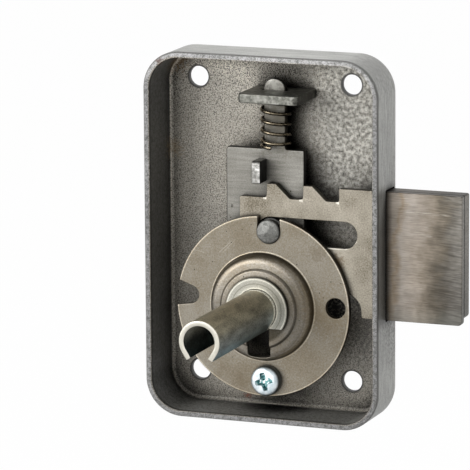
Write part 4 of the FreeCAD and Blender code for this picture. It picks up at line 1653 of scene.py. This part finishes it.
@dataclass(frozen=True)
class Tumbler:
    """Sliding plate with its stem, and the peg that drops between the teeth."""

    front: float = 8.15
    back: float = 9.95
    plate_x: Spot = (-10.7, 9.5)
    plate_z: Spot = (11.7, 38.3)
    stem_x: Spot = (-0.9, 4.7)
    stem_top: float = 55.55
    window: tuple[float, float, float, float] = (-1.6, 14.2, 4.8, 24.6)
    window_r: float = 0.4
    foot_r: float = 0.9
    shoulder_r: float = 0.45
    stem_r: float = 2.75
    edge: Edge = Edge(0.38)
    peg_x: Spot = (-2.4, -0.2)
    peg_z: Spot = (30.3, 35.8)
    peg_front: float = 3.7
    peg_r: Spot = (0.3, 0.9)
    peg_edge: Edge = Edge(0.2)

    def build(self) -> None:
        """Makes the plate and the peg."""
        (left, right), (low, high), (first, last) = self.plate_x, self.plate_z, self.stem_x
        top, foot_r, shoulder_r, stem_r = self.stem_top, self.foot_r, self.shoulder_r, self.stem_r
        line = rounded((
            (left, low, foot_r), (right, low, foot_r), (right, high, shoulder_r), (last, high, shoulder_r),
            (last, top, stem_r), (first, top, stem_r), (first, high, shoulder_r), (left, high, foot_r)))
        plate = Shaper()
        window = box(*self.window, *(self.window_r,) * 4)[::-1]
        plate.plate([line, window], self.front, self.back, self.edge)
        plate.make("stemmed_plate", TUMBLER_STEEL, "tumbler_steel", Body.TUMBLER, "tumbler")
        (low, high), (low_r, high_r) = self.peg_z, self.peg_r
        side = rounded(((self.peg_front, low, low_r), (self.back, low), (self.back, high),
                        (self.peg_front, high, high_r)))
        peg = Shaper()
        peg.plate([side], *self.peg_x, self.peg_edge)
        for spot in peg.spots:
            spot.x, spot.y = spot.y, spot.x
        peg.make("flat_peg", PEG_STEEL, "peg_steel", Body.TUMBLER, "tumbler_peg")


@dataclass(frozen=True)
class Spring:
    """Left-handed compression spring round the tumbler's stem, its lower end closed."""

    axis: Spot = (1.9, 9.05)
    radius: float = 3.4
    wire_r: float = 0.45
    turns: float = 5.0
    closed_rise: float = 1.05
    low: float = 38.35
    high: float = 50.45
    play: float = 0.05
    sides: int = 10
    steps: int = 36

    def build(self) -> None:
        """Makes the spring, which is pressed between the tumbler and the bracket."""
        shaper = Shaper()
        foot = self.low + self.wire_r + self.play
        rise = self.high - self.wire_r - self.play - foot
        x, y = self.axis
        rings = []
        for turn in np.linspace(0.0, self.turns, round(self.turns * self.steps) + 1):
            angle = -math.pi / 2 - math.tau * turn
            height = foot + np.interp(turn, (0.0, 1.0, self.turns), (0.0, self.closed_rise, rise))
            out = Vector((math.cos(angle), math.sin(angle), 0.0))
            start = len(shaper.spots)
            for side in range(self.sides):
                a = math.tau * side / self.sides
                way = out * math.cos(a) + Vector((0.0, 0.0, math.sin(a)))
                shaper.spots.append(Vector((x, y, height)) + out * self.radius + way * self.wire_r)
            rings.append(list(range(start, len(shaper.spots))))
        shaper.stack(rings)
        shaper.faces += [tuple(rings[0]), tuple(rings[-1])]
        coil = shaper.make("coil_spring", SPRING_STEEL, "spring_steel", None, "tumbler_spring")
        x, y = x * MM, y * MM
        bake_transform(coil)


ASSEMBLY = (
    SheetCase(), GuideDisc(), KeyTube(), TubeCollar(), DiscScrew(), GuidePost(), SpringBracket(), Bolt(),
    Tumbler(), Spring(),
)
CARRIED_OVER: dict[str, Finish] = {"screw_post": POST_STEEL}


@dataclass(frozen=True)
class Lamp:
    """A soft square lamp that looks at the middle of the lock. Its place and size are in metres."""

    name: str
    place: Place
    size: float
    power: float

    def switch_on(self, aim: Vector) -> None:
        """Adds the lamp to the scene.

        Args:
            aim: The point that it looks at, in metres.
        """
        data = bpy.data.lights.new(self.name, "AREA")
        data.shape, data.size, data.energy = "SQUARE", self.size, self.power
        lamp = bpy.data.objects.new(self.name, data)
        lamp.location = self.place
        lamp.rotation_euler = (aim - lamp.location).to_track_quat("-Z", "Y").to_euler()
        bpy.context.scene.collection.objects.link(lamp)


@dataclass(frozen=True)
class Studio:
    """Plain pale studio: a floor, a white surround and soft lamps."""

    floor_drop: float = 200.0
    floor_reach: float = 6000.0
    floor_tone: str = "#F4F4F4"
    floor_share: float = 0.985
    white: tuple[float, ...] = (1.0, 1.0, 1.0, 1.0)
    glow: float = 0.3
    fall: Place = (-0.2, 0.28, 0.0)
    lamps: tuple[Lamp, ...] = (
        Lamp("window_left", (-0.6, -0.75, 0.3), 0.5, 6.0),
        Lamp("fill_front", (-0.08, -1.1, 0.1), 0.5, 1.6),
        Lamp("softbox_back_right", (0.9, 0.35, 0.65), 0.6, 5.2),
        Lamp("softbox_top", (0.0, 0.25, 0.9), 0.6, 4.5),
    )

    def build(self, aim: Vector, lowest: float) -> None:
        """Adds the surround, the lamps and the floor.

        Args:
            aim: The middle of the lock, in metres.
            lowest: The height of the lock's lowest point, in metres.
        """
        world = bpy.data.worlds.new("white_surround")
        bpy.context.scene.world = world
        world.use_nodes = True
        world.node_tree.nodes.clear()
        add = partial(add_node, world.node_tree)
        glow = add(Node.PLUS, add(Node.ALONG, add(Node.PLACES), self.fall), self.glow)
        add(Node.WORLD, add(Node.SKY, self.white, add(Node.MIX, self.seen(add), glow, 1.0)))
        for lamp in self.lamps:
            lamp.switch_on(aim)
        self.lay_floor(lowest - self.floor_drop * MM)

    def seen(self, add: Callable[..., Socket]) -> Socket:
        """Tells the rays that show the surround, straight, reflected or let through, from the others.

        Args:
            add: The function that adds a node.

        Returns:
            A socket that is 1 for such rays.
        """
        shown = add(Node.RAYS, out="Is Camera Ray")
        for kind in ("Is Glossy Ray", "Is Transmission Ray"):
            shown = add(Node.EITHER, shown, add(Node.RAYS, out=kind))
        return shown

    def lay_floor(self, height: float) -> None:
        """Lays a pale matt floor under the lock.

        Args:
            height: The floor's height in metres.
        """
        half = self.floor_reach * MM / 2
        mesh = bpy.data.meshes.new("studio_floor")
        spots = [(x, y, height) for x, y in ((-half, -half), (half, -half), (half, half), (-half, half))]
        mesh.from_pydata(spots, [], [(0, 1, 2, 3)])
        floor = bpy.data.objects.new("studio_floor", mesh)
        bpy.context.scene.collection.objects.link(floor)
        material = bpy.data.materials.new("floor_paper")
        material.use_nodes = True
        material.node_tree.nodes.clear()
        add = partial(add_node, material.node_tree)
        share = add(Node.TIMES, self.seen(add), self.floor_share)
        add(Node.SURFACE, add(Node.BOTH, share, add(Node.PAPER, self.floor_tone), add(Node.GLOW, self.white)))
        mesh.materials.append(material)
        floor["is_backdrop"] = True


@dataclass(frozen=True)
class Viewpoint:
    """The photograph's camera: far off, to the right and a little above."""

    azimuth: float = 21.427
    elevation: float = 11.472
    roll: float = -0.374
    place: Place = (372.42, -962.51, 228.01)
    focal_pixels: float = 4379.85
    picture_pixels: float = 470.0
    sensor: float = 36.0
    clip: tuple[float, float] = (0.05, 50.0)

    def set_up(self) -> None:
        """Adds the camera and makes it the scene's own."""
        az, el, roll = (math.radians(v) for v in (self.azimuth, self.elevation, self.roll))
        back = Vector((math.sin(az) * math.cos(el), -math.cos(az) * math.cos(el), math.sin(el)))
        level = Vector((math.cos(az), math.sin(az), 0.0))
        above = back.cross(level)
        right = math.cos(roll) * level + math.sin(roll) * above
        up = math.cos(roll) * above - math.sin(roll) * level
        data = bpy.data.cameras.new("photo_camera")
        data.sensor_width = self.sensor
        data.lens = self.focal_pixels * self.sensor / self.picture_pixels
        data.clip_start, data.clip_end = self.clip
        camera = bpy.data.objects.new("photo_camera", data)
        turn = Matrix((right, up, back)).transposed().to_4x4()
        camera.matrix_world = Matrix.Translation(Vector(self.place) * MM) @ turn
        bpy.context.scene.collection.objects.link(camera)
        bpy.context.scene.camera = camera


def main() -> None:
    """Builds the pieces, the studio and the camera, measuring the lock's bounds first for the studio."""
    logging.basicConfig(level=logging.INFO, format="%(name)s: %(message)s")
    before = [list(corner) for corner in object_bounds()]
    bpy.context.scene.view_settings.view_transform = "Standard"
    Viewpoint().set_up()
    for part in ASSEMBLY:
        part.build()
    for name, finish in CARRIED_OVER.items():
        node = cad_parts[name]
        node.data.materials.clear()
        node.data.materials.append(finish.material())
        LOG.info("%s keeps its solid, finished in %s", name, finish.name)
    low, high = (Vector(corner) for corner in before)
    Studio().build((low + high) / 2, low.z)


if __name__ == "__main__":
    main()
